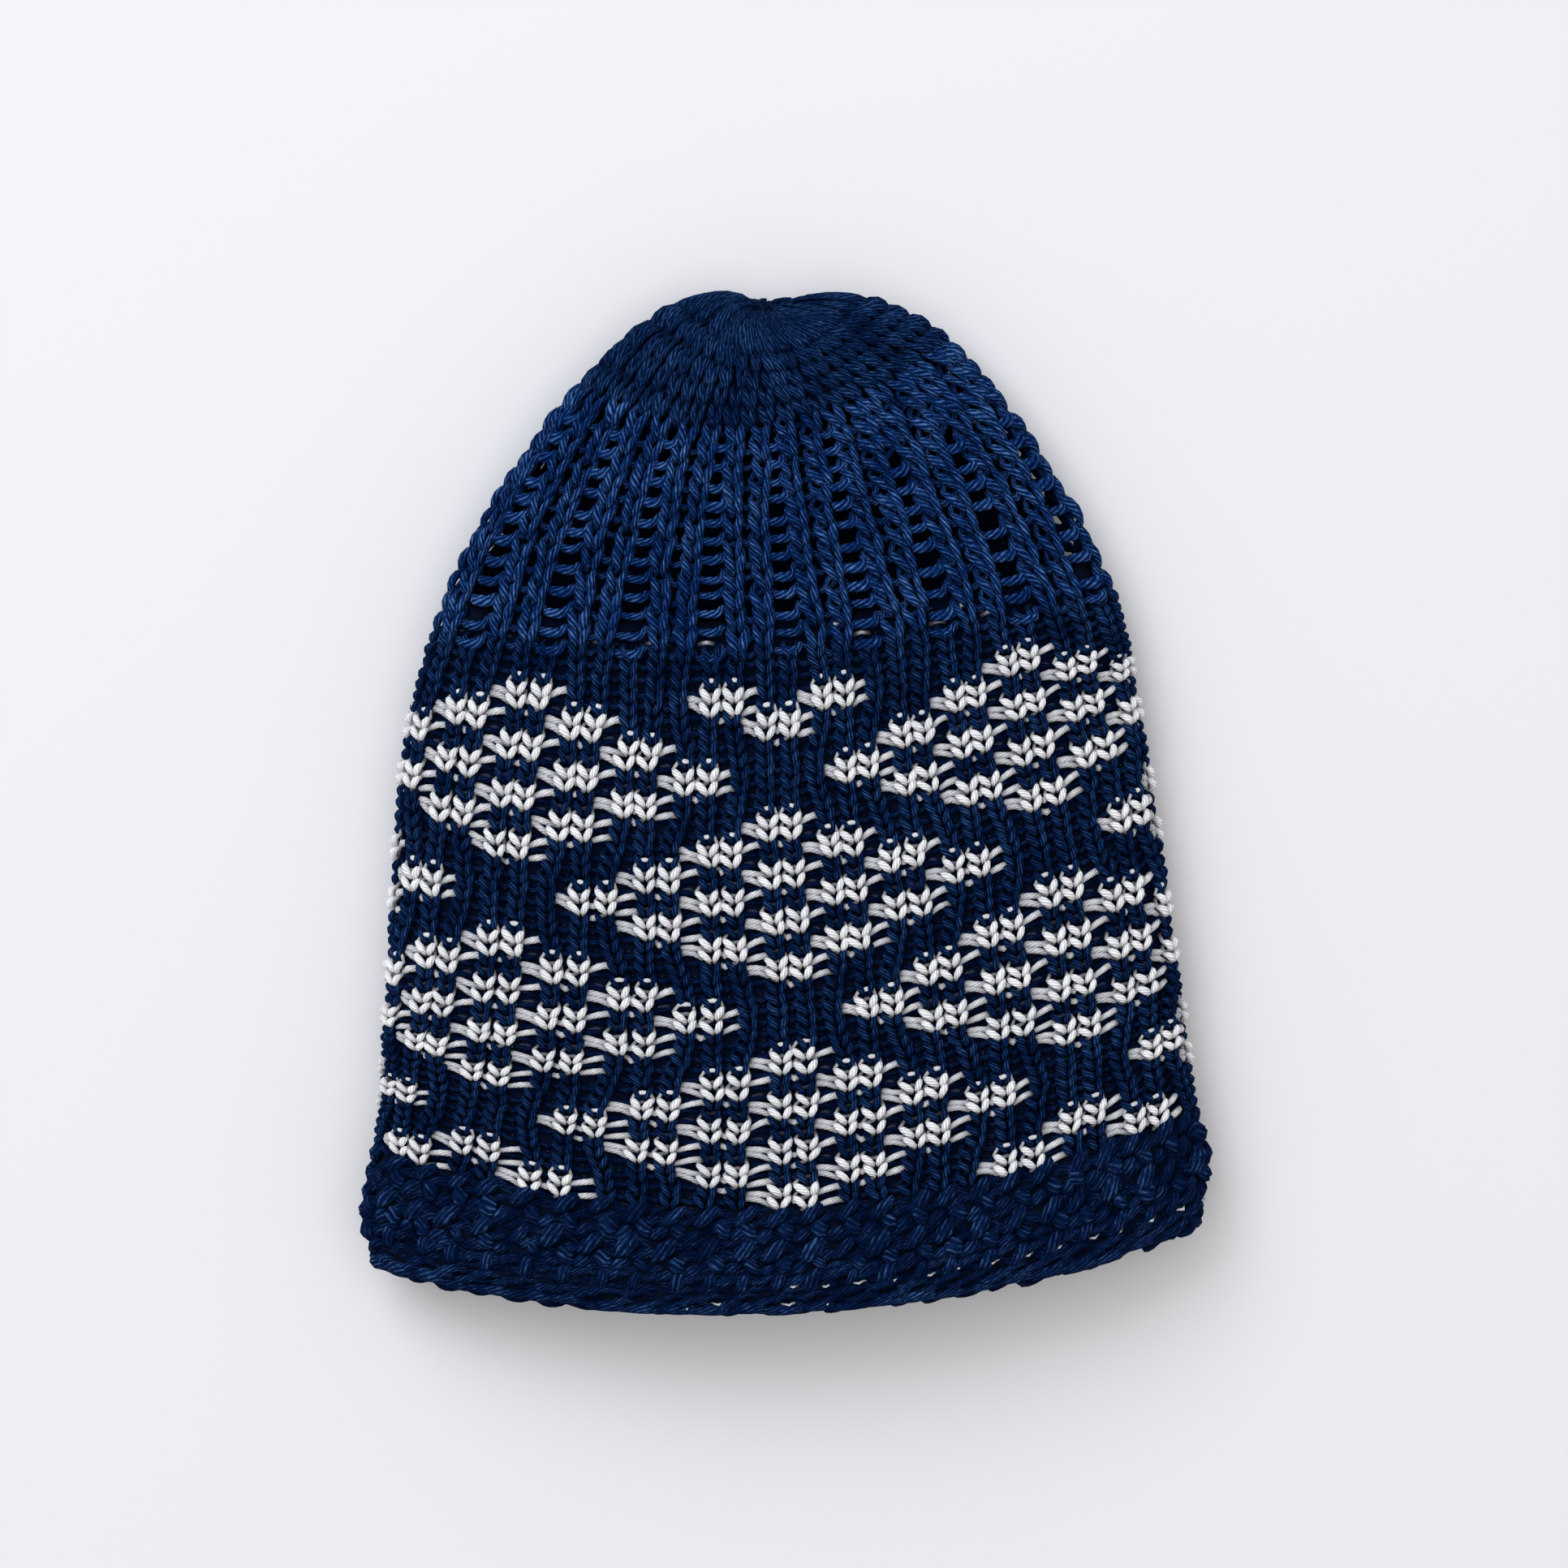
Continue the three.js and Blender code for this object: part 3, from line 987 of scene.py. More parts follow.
@dataclass
class PatternedBody:
    """The body: plain knitting in navy with white lozenges, in rounds of 54 stitches.

    colour_gap and pairing say how far stitches move apart where the colour changes and together in a block,
    in stitch widths. near_change and near_white say how soon a stitch counts fully as near either.
    among_white is how much further in navy stitches lie there, and the carried values how much further in
    each yarn lies where it is carried, in millimetres.
    """

    fabric: Fabric
    bottom: float = 26.2
    top: float = 165.0
    rows: int = 47
    navy_parts: tuple = ((0, 16), (16, 32), (32, 47))
    white_parts: tuple = ((0, 22), (22, 44))
    radius: float = 0.83
    navy_radius: float = 0.85
    uneven: Unevenness = Unevenness(column=0.025, along=0.06, sink=0.12, swell=0.04, lean=0.05)
    slant: float = -0.10
    colour_gap: float = 0.28
    pairing: float = 0.22
    near_change: float = 1.3
    near_white: float = 2.2
    among_white: float = 0.6
    carried_white: float = 0.9
    carried_navy: float = -0.35
    # How far the tops of loops stand out: navy ones below the openwork's gaps, and white ones below navy,
    # inside a lozenge and at its upper edge, in millimetres.
    below_gap: float = -2.2
    inside_lozenge: float = -0.8
    upper_edge: float = 1.8
    # Height, depth and steepness where the hidden yarn goes on, changes with the other, and is carried.
    hidden_edges: tuple = ((-0.95, -2.3, 0.0), (-0.62, -3.2, 0.0), (-0.50, -3.9, 0.0))
    # The same for the yarn that shows.
    shown_edges: tuple = (
        (-0.95, -2.1, 0.0),  # It goes on to its next stitch.
        (0.02, -1.6, 0.4),  # It leaves a block's upper row.
        (-0.25, -1.8, 0.1),  # It leaves a lower row that has nothing white below.
        (-0.35, -4.2, 0.0),  # It leaves another lower row.
        (-0.28, -1.9, 0.1),  # It comes to an upper row.
        (0.26, -2.1, 0.0),  # It comes to a lower row.
        (-0.50, -4.4, 0.0),  # It is carried.
    )
    # Its depth in the first row where it goes on to its next stitch.
    first_row_depth: float = -3.9
    seed: int = 11

    def columns(self, white: np.ndarray) -> tuple[np.ndarray, np.ndarray]:
        """Middles and right edges of the stitches, in stitch widths.

        Where the colour changes between two stitches their distance grows, as the other yarn passes there,
        and the two stitches of a block draw together. Both are spread over the rows near by, and the
        round's total stays the same.

        Args:
            white: which stitches are white.

        Returns:
            Middles and right edges, rows by stitches.
        """
        change = (white != np.roll(white, -1, 1)).astype(float)
        weights = np.array([1, 2, 3, 4, 3, 2, 1]) / 16
        nearby = np.clip(np.arange(self.rows)[:, None] + np.arange(-3, 4), 0, self.rows - 1)
        wide = np.clip(self.near_change * np.einsum("n,rnc->rc", weights, change[nearby]), 0, 1)
        gap = 1 + self.colour_gap * wide
        gap *= STITCHES / gap.sum(1, keepdims=True)
        gap += self.pairing * (wide - (np.roll(wide, 1, 1) + 2 * wide + np.roll(wide, -1, 1)) / 4)
        column = np.cumsum(gap, 1) - gap
        column += (STITCHES - 1) / 2 + 0.5 - column.mean(1, keepdims=True)
        return column, column + gap / 2

    def edges(self, own: np.ndarray, showing: bool) -> tuple[np.ndarray, np.ndarray, np.ndarray]:
        """Height, depth and steepness of a yarn at the right edge of each stitch.

        The white yarn shows there: a block's upper row sends a rising strand to the right, its lower row
        only where nothing is white below, and both rows' strands come in from the left close together.

        Args:
            own: which stitches the yarn makes.
            showing: whether the yarn shows where it leaves a stitch and where it comes to the next.

        Returns:
            The three arrays, rows by stitches.
        """
        after = np.roll(own, -1, 1)
        leaves, enters, both = own & ~after, ~own & after, own & after
        upper = np.zeros(own.shape, bool)
        upper[1::2] = True
        if not showing:
            return edge_values([both, leaves | enters], self.hidden_edges)
        lowest = ~np.roll(own, 4, 0)
        lowest[:4] = True
        kinds = [both, leaves & upper, leaves & lowest, leaves, enters & upper, enters]
        height, depth, steepness = edge_values(kinds, self.shown_edges)
        depth[0] = np.where(both[0], self.first_row_depth, depth[0])
        return height, depth, steepness

    def yarn(self, white: np.ndarray, showing: bool, part: slice) -> YarnMesh:
        """One colour's yarn in some of the rows: stitches where it is used, carried behind the others.

        Args:
            white: which stitches are white.
            showing: whether this is the white yarn, which shows between its stitches.
            part: the rows.

        Returns:
            The yarn.
        """
        own = white if showing else ~white
        chance = np.random.default_rng(self.seed)
        pitch = (self.top - self.bottom) / self.rows
        column, right = self.columns(white)
        left = np.roll(right, 1, 1)
        left[:, 0] -= STITCHES
        along = self.bottom + pitch * (np.arange(self.rows)[:, None] + 0.5) + np.zeros((1, STITCHES))
        along = along + pitch * self.uneven.along * chance.standard_normal(along.shape)
        column = column + self.uneven.column * chance.standard_normal(column.shape)
        swell = 1 + self.uneven.swell * chance.standard_normal(column.shape)
        height, depth, steepness = self.edges(own, showing)
        deeper = self.among_white * self.mixed(white) * own
        sink = (not showing) * (deeper + self.uneven.sink * chance.standard_normal(white.shape))
        sink = sink + np.where(own, 0, self.carried_white if showing else self.carried_navy)
        rise = self.rise(white, showing)
        rows = Rows(
            column, left - column, right - column, along, pitch, height, depth, steepness, rise, sink
        ).only(part)
        rows.lean = self.slant + self.uneven.lean * chance.standard_normal(rows.column.shape)
        stitch = SPREAD_STITCH if showing else PLAIN_STITCH
        radius = self.radius if showing else self.navy_radius
        return self.fabric.knit(rows, stitch, radius, swell[part], CARRIED_YARN, own[part])

    def mixed(self, white: np.ndarray) -> np.ndarray:
        """How much each stitch lies among both colours, from 0 to 1, by what is white near it.

        Args:
            white: which stitches are white.

        Returns:
            The shares, rows by stitches.
        """
        near = white.astype(float)
        across = sum(np.roll(near, step, 1) for step in range(-2, 3)) / 5
        nearby = np.clip(np.arange(len(white))[:, None] + np.arange(-2, 3), 0, len(white) - 1)
        return np.clip(self.near_white * across[nearby].mean(1), 0, 1)

    def rise(self, white: np.ndarray, showing: bool) -> np.ndarray:
        """How far the tops of loops stand out, where the other colour or a gap is above them.

        Args:
            white: which stitches are white.
            showing: whether this is the white yarn.

        Returns:
            The distances in millimetres, rows by stitches.
        """
        if not showing:
            under = (np.arange(self.rows)[:, None] == self.rows - 1) & (np.arange(STITCHES) % 3 == 0)
            return np.where(under, self.below_gap, 0.0)
        above = np.concatenate([white[1:], white[-1:]])
        far = np.concatenate([white[3:], np.zeros((3, STITCHES), bool)])
        return np.where(white & ~above, np.where(far, self.inside_lozenge, self.upper_edge), 0.0)

    def build(self, navy: bpy.types.Material, white_finish: bpy.types.Material) -> None:
        """Builds the navy yarn in three parts and the white yarn in two.

        Args:
            navy: the finish of the navy yarn.
            white_finish: that of the white yarn.
        """
        white = Lozenges().white(self.rows)
        for colour, finish, slot, parts in (
            ("navy", navy, Slot.NAVY, self.navy_parts),
            ("white", white_finish, Slot.WHITE, self.white_parts),
        ):
            for number, part in enumerate(parts, 1):
                mesh = self.yarn(white, colour == "white", slice(*part))
                mesh.to_piece(f"body_{colour}_{number}", finish, slot, ("patterned_body",))


# A rung of the openwork: yarn that crosses a gap in the open and rises to the next rib.
RUNG = YarnPath(
    knots=(
        (-0.50, -0.80, -2.1, 0.95, 0.0),
        (-0.26, -0.84, -1.3, 1.10, 0.0),
        (0.06, -0.86, -1.0, 1.20, 0.0),
        (0.27, -0.74, -1.1, 1.10, 0.0),
        (0.50, -0.36, -1.9, 0.90, 0.0),
    ),
    samples=(0, 0.7, 1.4, 2.1, 2.8, 3.4, 4),
)


@dataclass
class OpenworkRibs:
    """The openwork: 18 ribs of two plain stitches, with a gap crossed by rungs between them.

    Towards the crown the gaps at the front's right are filled by stitches, and all stitches there lean left.
    apart is how far a rib's two stitches stand from their places in the first row, and how much further in
    the last, in stitch widths. Each of spreads is a stitch's width in some of the rows, from below. Each of
    white_ends is a height and the stitches at which white yarn comes forward.
    """

    fabric: Fabric
    bottom: float = 165.0
    top: float = 218.2
    rows: int = 12
    radius: float = 1.03
    spreads: tuple = (1.24, 1.42, 1.60)
    uneven: Unevenness = Unevenness(column=0.05, along=0.09, sink=0.25, swell=0.10, lean=0.07)
    apart: tuple = (0.03, 0.25)
    # Height, depth and steepness of the yarn before a gap, behind it and elsewhere.
    edges: tuple = ((-0.80, -2.0, 0.0), (-0.36, -1.9, 0.6), (-0.95, -2.3, 0.0))
    filled_rows: int = 3
    filled_columns: tuple = (3, 22)
    white_ends: tuple = ((167.5, (-7, -5, -3, 3, 6, 8)), (170.0, (-8, -4, 2, 7)))
    ends_radius: float = 0.55
    ends_pitch: float = 3.0
    ends_rise: float = 2.5
    ends_offset: float = 0.3
    seed: int = 12

    def build(self, navy: bpy.types.Material, white: bpy.types.Material) -> None:
        """Builds the openwork's rounds as one piece, and the white ends caught in the first as another.

        Args:
            navy: the finish of the navy yarn.
            white: that of the white yarn.
        """
        chance = np.random.default_rng(self.seed)
        pitch = (self.top - self.bottom) / self.rows
        shape = (self.rows, STITCHES)
        index = np.broadcast_to(np.arange(STITCHES), shape)
        level = np.arange(self.rows)[:, None]
        start, more = self.apart
        side = np.select([index % 3 == 1, index % 3 == 2], [-1.0, 1.0], 0.0)
        column = index + 0.5 + side * (start + more * level / self.rows)
        column = column + self.uneven.column * chance.standard_normal(shape)
        first, end = self.filled_columns
        filled = (level >= self.rows - self.filled_rows) & (index > first) & (index < end)
        gap = (index % 3 == 0) & ~filled
        along = self.bottom + pitch * (level + 0.5)
        along = along + self.uneven.along * pitch * chance.standard_normal(shape)
        edge = edge_values([np.roll(gap, -1, 1), gap], self.edges)
        right = index + 1.0
        rows = Rows(column, right - 1 - column, right - column, along, pitch, *edge)
        rows.sink = self.uneven.sink * chance.standard_normal(shape)
        rows.lean = lean_at(column, along) + self.uneven.lean * chance.standard_normal(shape)
        swell = 1 + self.uneven.swell * chance.standard_normal(shape)
        parts = []
        for part, spread in zip(np.array_split(np.arange(self.rows), len(self.spreads)), self.spreads):
            stitch = PLAIN_STITCH.widened(spread)
            made = self.fabric.knit(rows.only(part), stitch, self.radius, swell[part], RUNG, ~gap[part])
            parts.append(made)
        YarnMesh.join(parts).to_piece("ribs_navy", navy, Slot.NAVY, ("openwork_ribs",))
        ends = [self.ends(height, shown) for height, shown in self.white_ends]
        YarnMesh.join(ends).to_piece("ribs_white", white, Slot.WHITE, ("openwork_ribs",))

    def ends(self, height: float, shown: tuple) -> YarnMesh:
        """White yarn carried on into the first rounds, that comes forward at some stitches.

        Args:
            height: its height up the cap.
            shown: the stitches where it comes forward.

        Returns:
            The yarn.
        """
        place = np.arange(STITCHES)[None] + self.ends_offset
        _, edge_height, edge_depth, *_ = CARRIED_YARN.knots[0]
        near = np.isin((place.round() + STITCHES / 2) % STITCHES - STITCHES / 2, shown)
        rows = Rows(place, -0.5, 0.5, height, self.ends_pitch, edge_height, edge_depth)
        rows.rise = np.where(near, self.ends_rise, 0.0)
        return self.fabric.knit(rows, CARRIED_YARN, self.ends_radius, np.ones(place.shape))


def lean_at(column: np.ndarray, along: np.ndarray) -> np.ndarray:
    """How far stitches slant, in widths for each row: left on the front's right, most near the crown.

    Args:
        column: places in stitch widths from the front's middle.
        along: heights up the cap.

    Returns:
        The slants, negative to the left.
    """
    place = (column + STITCHES / 2) % STITCHES - STITCHES / 2
    right = np.interp(place, (-4, 5, 18, 24), (0.0, 1.0, 1.0, 0.0))
    return -0.08 - right * np.interp(along, (165, 190, 220, 240), (0.10, 0.35, 0.60, 0.50))


# The last round, drawn together: a long stitch whose legs run up to the gather and dive in there.
GATHERED_STITCH = YarnPath(
    knots=(
        (-0.50, -0.56, -2.4, 0.86, 0.0),
        (-0.30, -0.54, -2.9, 0.86, 0.0),
        (-0.14, -0.47, -2.3, 0.74, 0.0),
        (-0.19, -0.38, -1.10, 0.92, 0.0),
        (-0.24, -0.18, -0.50, 0.84, 0.0),
        (-0.17, 0.08, -0.50, 0.72, 0.0),
        (-0.20, 0.33, -0.80, 0.60, 0.0),
        (-0.12, 0.49, -3.00, 0.44, 0.0),
        (0.00, 0.49, -5.00, 0.44, 0.0),
    ),
    samples=(0, 1.1, 2.2, 3.0, 3.5, 4.0, 4.5, 5.0, 5.6, 6.3, 7.0, 8.0),
    mirrored=True,
)

# A stitch of the crown: plump legs like grains, apart from each other.
CROWN_STITCH = YarnPath(
    knots=(
        (-0.50, -0.92, -2.4, 0.80, 0.0),
        (-0.30, -0.84, -3.0, 0.78, 0.0),
        (-0.12, -0.64, -2.8, 0.70, 0.0),
        (-0.12, -0.42, -1.50, 0.86, 0.0),
        (-0.20, -0.04, -0.70, 1.16, 0.0),
        (-0.28, 0.34, -1.05, 0.96, 0.0),
        (-0.31, 0.62, -2.30, 0.66, 0.0),
        (-0.18, 0.96, -3.00, 0.76, 0.0),
        (0.00, 1.06, -3.00, 0.76, 0.0),
    ),
    samples=HALF_STITCH_SAMPLES,
    mirrored=True,
)


@dataclass
class Crown:
    """The crown: 48 plain stitches, the last round of them long and drawn together at the gather.

    offset is where its first stitch stands, and column_spread how unevenly the stitches stand, in widths of
    the cap's 54 stitches. swell_spread is how uneven the yarn's thickness is, as a share.
    """

    fabric: Fabric
    bottom: float = 218.2
    rows: int = 4
    pitch: float = 4.3
    stitches: int = 48
    offset: float = 1.25
    column_spread: float = 0.07
    swell_spread: float = 0.11
    edge_depth: float = -2.4
    radius: float = 0.84
    seed: int = 13

    def rounds(
        self, along: np.ndarray, pitch: float, path: YarnPath, edge: float, uneven: float
    ) -> YarnMesh:
        """Rounds of the crown's stitches at some heights.

        Args:
            along: the rounds' heights up the cap.
            pitch: height of a round.
            path: the yarn's way through a stitch.
            edge: height of the yarn between two stitches, in rows.
            uneven: how unevenly deep the stitches lie, in millimetres. Half as much counts for their
                heights and slants.

        Returns:
            The yarn.
        """
        chance = np.random.default_rng(self.seed + len(along))
        shape = (len(along), self.stitches)
        step = STITCHES / self.stitches
        place = step * np.arange(self.stitches) + self.offset
        column = np.broadcast_to(place, shape) + self.column_spread * chance.standard_normal(shape)
        right = np.broadcast_to(place + step / 2, shape)
        height = along[:, None] + 0.5 * uneven * chance.standard_normal(shape)
        rows = Rows(column, right - step - column, right - column, height, pitch, edge, self.edge_depth)
        rows.sink = uneven * chance.random(shape)
        rows.lean = step * (lean_at(column, height) + 0.5 * uneven * (chance.random(shape) - 0.5))
        swell = 1 + self.swell_spread * chance.standard_normal(shape)
        return self.fabric.knit(rows, path.widened(step), self.radius, swell)

    def build(self, navy: bpy.types.Material) -> None:
        """Builds the plain rounds and the drawn-in one as one piece.

        Args:
            navy: the finish of the yarn.
        """
        plain = self.bottom + self.pitch * (np.arange(self.rows) + 0.5)
        last = self.bottom + self.pitch * self.rows
        tall = self.fabric.form.length - last
        parts = [
            self.rounds(plain, self.pitch, CROWN_STITCH, edge=-0.92, uneven=0.5),
            self.rounds(np.array([last + tall / 2]), tall, GATHERED_STITCH, edge=-0.58, uneven=1.6),
        ]
        YarnMesh.join(parts).to_piece("crown_navy", navy, Slot.NAVY, ("crown",))


class Bump(Enum):
    """The band's kinds of stitch, each as knots from one edge to the other."""

    # One fat strand that rises to the right.
    SLANTED = (
        (-0.50, 0.00, -3.4, 0.70, 0.0),
        (-0.30, -0.22, -2.8, 0.80, 0.0),
        (-0.15, -0.13, -1.7, 0.96, 0.0),
        (0.00, 0.00, -1.3, 1.08, 0.0),
        (0.16, 0.13, -1.7, 0.96, 0.0),
        (0.31, 0.22, -2.8, 0.80, 0.0),
        (0.50, 0.00, -3.4, 0.70, 0.0),
    )
    # A fat knuckle and a smaller flat one beside it.
    PAIRED = (
        (-0.50, 0.02, -3.6, 0.66, 0.0),
        (-0.38, 0.15, -2.4, 0.86, 0.0),
        (-0.24, 0.04, -1.3, 1.06, 0.0),
        (-0.09, -0.14, -2.9, 0.70, 0.0),
        (0.07, -0.14, -2.2, 0.72, 0.0),
        (0.22, -0.08, -1.5, 0.84, 0.0),
        (0.36, -0.02, -2.7, 0.70, 0.0),
        (0.50, 0.02, -3.6, 0.66, 0.0),
    )
    # A fat strand that stands nearly upright.
    UPRIGHT = (
        (-0.50, 0.00, -3.4, 0.66, 0.0),
        (-0.18, -0.26, -2.9, 0.76, 0.0),
        (-0.08, -0.14, -1.8, 0.90, 0.0),
        (0.00, 0.02, -1.4, 0.98, 0.0),
        (0.07, 0.18, -1.8, 0.90, 0.0),
        (0.20, 0.26, -2.9, 0.76, 0.0),
        (0.50, 0.00, -3.4, 0.66, 0.0),
    )
    # A long thin strand with little rise.
    LONG = (
        (-0.50, -0.06, -3.0, 0.56, 0.0),
        (-0.30, -0.10, -2.2, 0.62, 0.0),
        (0.00, 0.00, -1.7, 0.70, 0.0),
        (0.28, 0.10, -2.1, 0.62, 0.0),
        (0.50, -0.06, -3.0, 0.56, 0.0),
    )
    # A sunk strand that fills the furrow between two rounds of bumps.
    SUNK = (
        (-0.50, -0.04, -3.5, 0.60, 0.0),
        (-0.28, -0.08, -3.0, 0.66, 0.0),
        (0.00, 0.02, -2.6, 0.74, 0.0),
        (0.28, 0.08, -3.0, 0.66, 0.0),
        (0.50, -0.04, -3.5, 0.60, 0.0),
    )
    # The edge's own strand, nearly straight.
    EDGE = (
        (-0.50, -0.02, -2.6, 0.66, 0.0),
        (-0.25, 0.00, -2.1, 0.72, 0.0),
        (0.00, 0.02, -1.8, 0.78, 0.0),
        (0.25, 0.02, -2.1, 0.72, 0.0),
        (0.50, -0.02, -2.6, 0.66, 0.0),
    )
    # A thin thread that comes out for a short dash, as far as the row's rise lets it.
    THREAD = (
        (-0.50, 0.00, -4.0, 1.00, 0.0),
        (-0.16, -0.01, -3.6, 1.00, 0.4),
        (0.00, 0.00, -3.2, 1.10, 1.0),
        (0.16, 0.03, -3.6, 1.00, 0.4),
        (0.50, 0.00, -4.0, 1.00, 0.0),
    )

    @property
    def path(self) -> YarnPath:
        """The yarn's way through one stitch of this kind."""
        last = len(self.value) - 1
        return YarnPath(knots=self.value, samples=tuple(np.linspace(0, last, 3 * last // 2 + 1)))


@dataclass
class BrimBand:
    """The band: thick yarn in rounds of bumps, outside and plainer inside, with a white thread.

    Each outer round is its height up the cap, its kind of stitch and how far it is moved round the cap, in
    stitch widths. inner holds the inner rounds' heights. Each thread is its height, the stretch of stitches
    in which it shows, and how far it comes out there, in millimetres.
    """

    fabric: Fabric
    outer: tuple = (
        (24.6, Bump.SLANTED, 0.10),
        (22.6, Bump.SUNK, 0.40),
        (20.6, Bump.PAIRED, 0.55),
        (18.7, Bump.SUNK, 0.85),
        (16.6, Bump.SLANTED, 0.05),
        (14.8, Bump.SUNK, 0.40),
        (12.9, Bump.PAIRED, 0.60),
        (11.1, Bump.SUNK, 0.90),
        (8.6, Bump.UPRIGHT, 0.20),
        (9.6, Bump.LONG, 0.70),
        (6.8, Bump.SUNK, 0.35),
        (5.1, Bump.LONG, 0.10),
        (3.1, Bump.LONG, 0.60),
        (1.3, Bump.EDGE, 0.30),
    )
    inner: tuple = (1.0, 4.6, 8.6, 12.6, 16.6, 20.6, 24.6)
    threads: tuple = ((7.3, (-0.6, 14), 2.95), (2.4, (-3.6, 2), 2.5))
    wall: float = 6.2
    pitch: float = 7.6
    radius: float = 1.84
    uneven: Unevenness = Unevenness(column=0.07, along=0.35, sink=0.3, swell=0.14)
    thread_radius: float = 0.27
    thread_offset: float = 0.45
    seed: int = 14

    def rows_at(self, height: float, kind: Bump, offset: float, chance: np.random.Generator) -> Rows:
        """Where the stitches of one round are.

        Args:
            height: the round's height up the cap.
            kind: its bumps.
            offset: how far the bumps are moved round the cap, in stitch widths.
            chance: the source of unevenness.

        Returns:
            The row.
        """
        shape = (1, STITCHES)
        middle = np.arange(STITCHES) + 0.5 + offset
        column = np.broadcast_to(middle, shape) + self.uneven.column * chance.standard_normal(shape)
        right = np.broadcast_to(middle + 0.5, shape)
        along = height + self.uneven.along * chance.standard_normal(shape)
        _, edge_height, edge_depth, *_ = kind.value[0]
        rows = Rows(column, right - 1 - column, right - column, along, self.pitch, edge_height, edge_depth)
        rows.sink = self.uneven.sink * chance.standard_normal(shape)
        return rows

    def round_of(self, height: float, kind: Bump, offset: float, inwards: float) -> YarnMesh:
        """One round, outside or inside the band.

        Args:
            height: its height up the cap.
            kind: its bumps.
            offset: how far the bumps are moved round the cap, in stitch widths.
            inwards: how far the round is set back into the band, facing inwards.

        Returns:
            The yarn.
        """
        chance = np.random.default_rng(self.seed + int(10 * height) + int(inwards))
        rows = self.rows_at(height, kind, offset, chance)
        swell = 1 + self.uneven.swell * chance.standard_normal(rows.column.shape)
        if inwards:
            return self.fabric.knit_inwards(rows, kind.path, self.radius, swell, inwards)
        return self.fabric.knit(rows, kind.path, self.radius, swell)

    def thread(self, height: float, shown: tuple, rise: float) -> YarnMesh:
        """A white thread run through one round, that comes out for a dash at each stitch of a stretch.

        Args:
            height: its height up the cap.
            shown: where the stretch starts and ends, in stitches from the front's middle.
            rise: how far it comes out there, in millimetres.

        Returns:
            The thread.
        """
        chance = np.random.default_rng(self.seed + int(10 * height))
        rows = self.rows_at(height, Bump.THREAD, self.thread_offset, chance)
        place = (rows.column + STITCHES / 2) % STITCHES - STITCHES / 2
        rows.rise = np.where((place > shown[0]) & (place < shown[1]), rise, 0.0)
        return self.fabric.knit(rows, Bump.THREAD.path, self.thread_radius, np.ones(place.shape))

    def build(self, deep: bpy.types.Material, white: bpy.types.Material) -> None:
        """Builds the outer and inner rounds as one piece, and the threads as another.

        Args:
            deep: the finish of the thick yarn.
            white: that of the threads.
        """
        parts = [self.round_of(height, kind, offset, 0.0) for height, kind, offset in self.outer]
        parts += [self.round_of(height, Bump.LONG, 0.0, self.wall) for height in self.inner]
        YarnMesh.join(parts).to_piece("band_navy", deep, Slot.BRIM, ("brim_band",))
        threads = [self.thread(*thread) for thread in self.threads]
        YarnMesh.join(threads).to_piece("band_thread", white, Slot.WHITE, ("brim_band",))


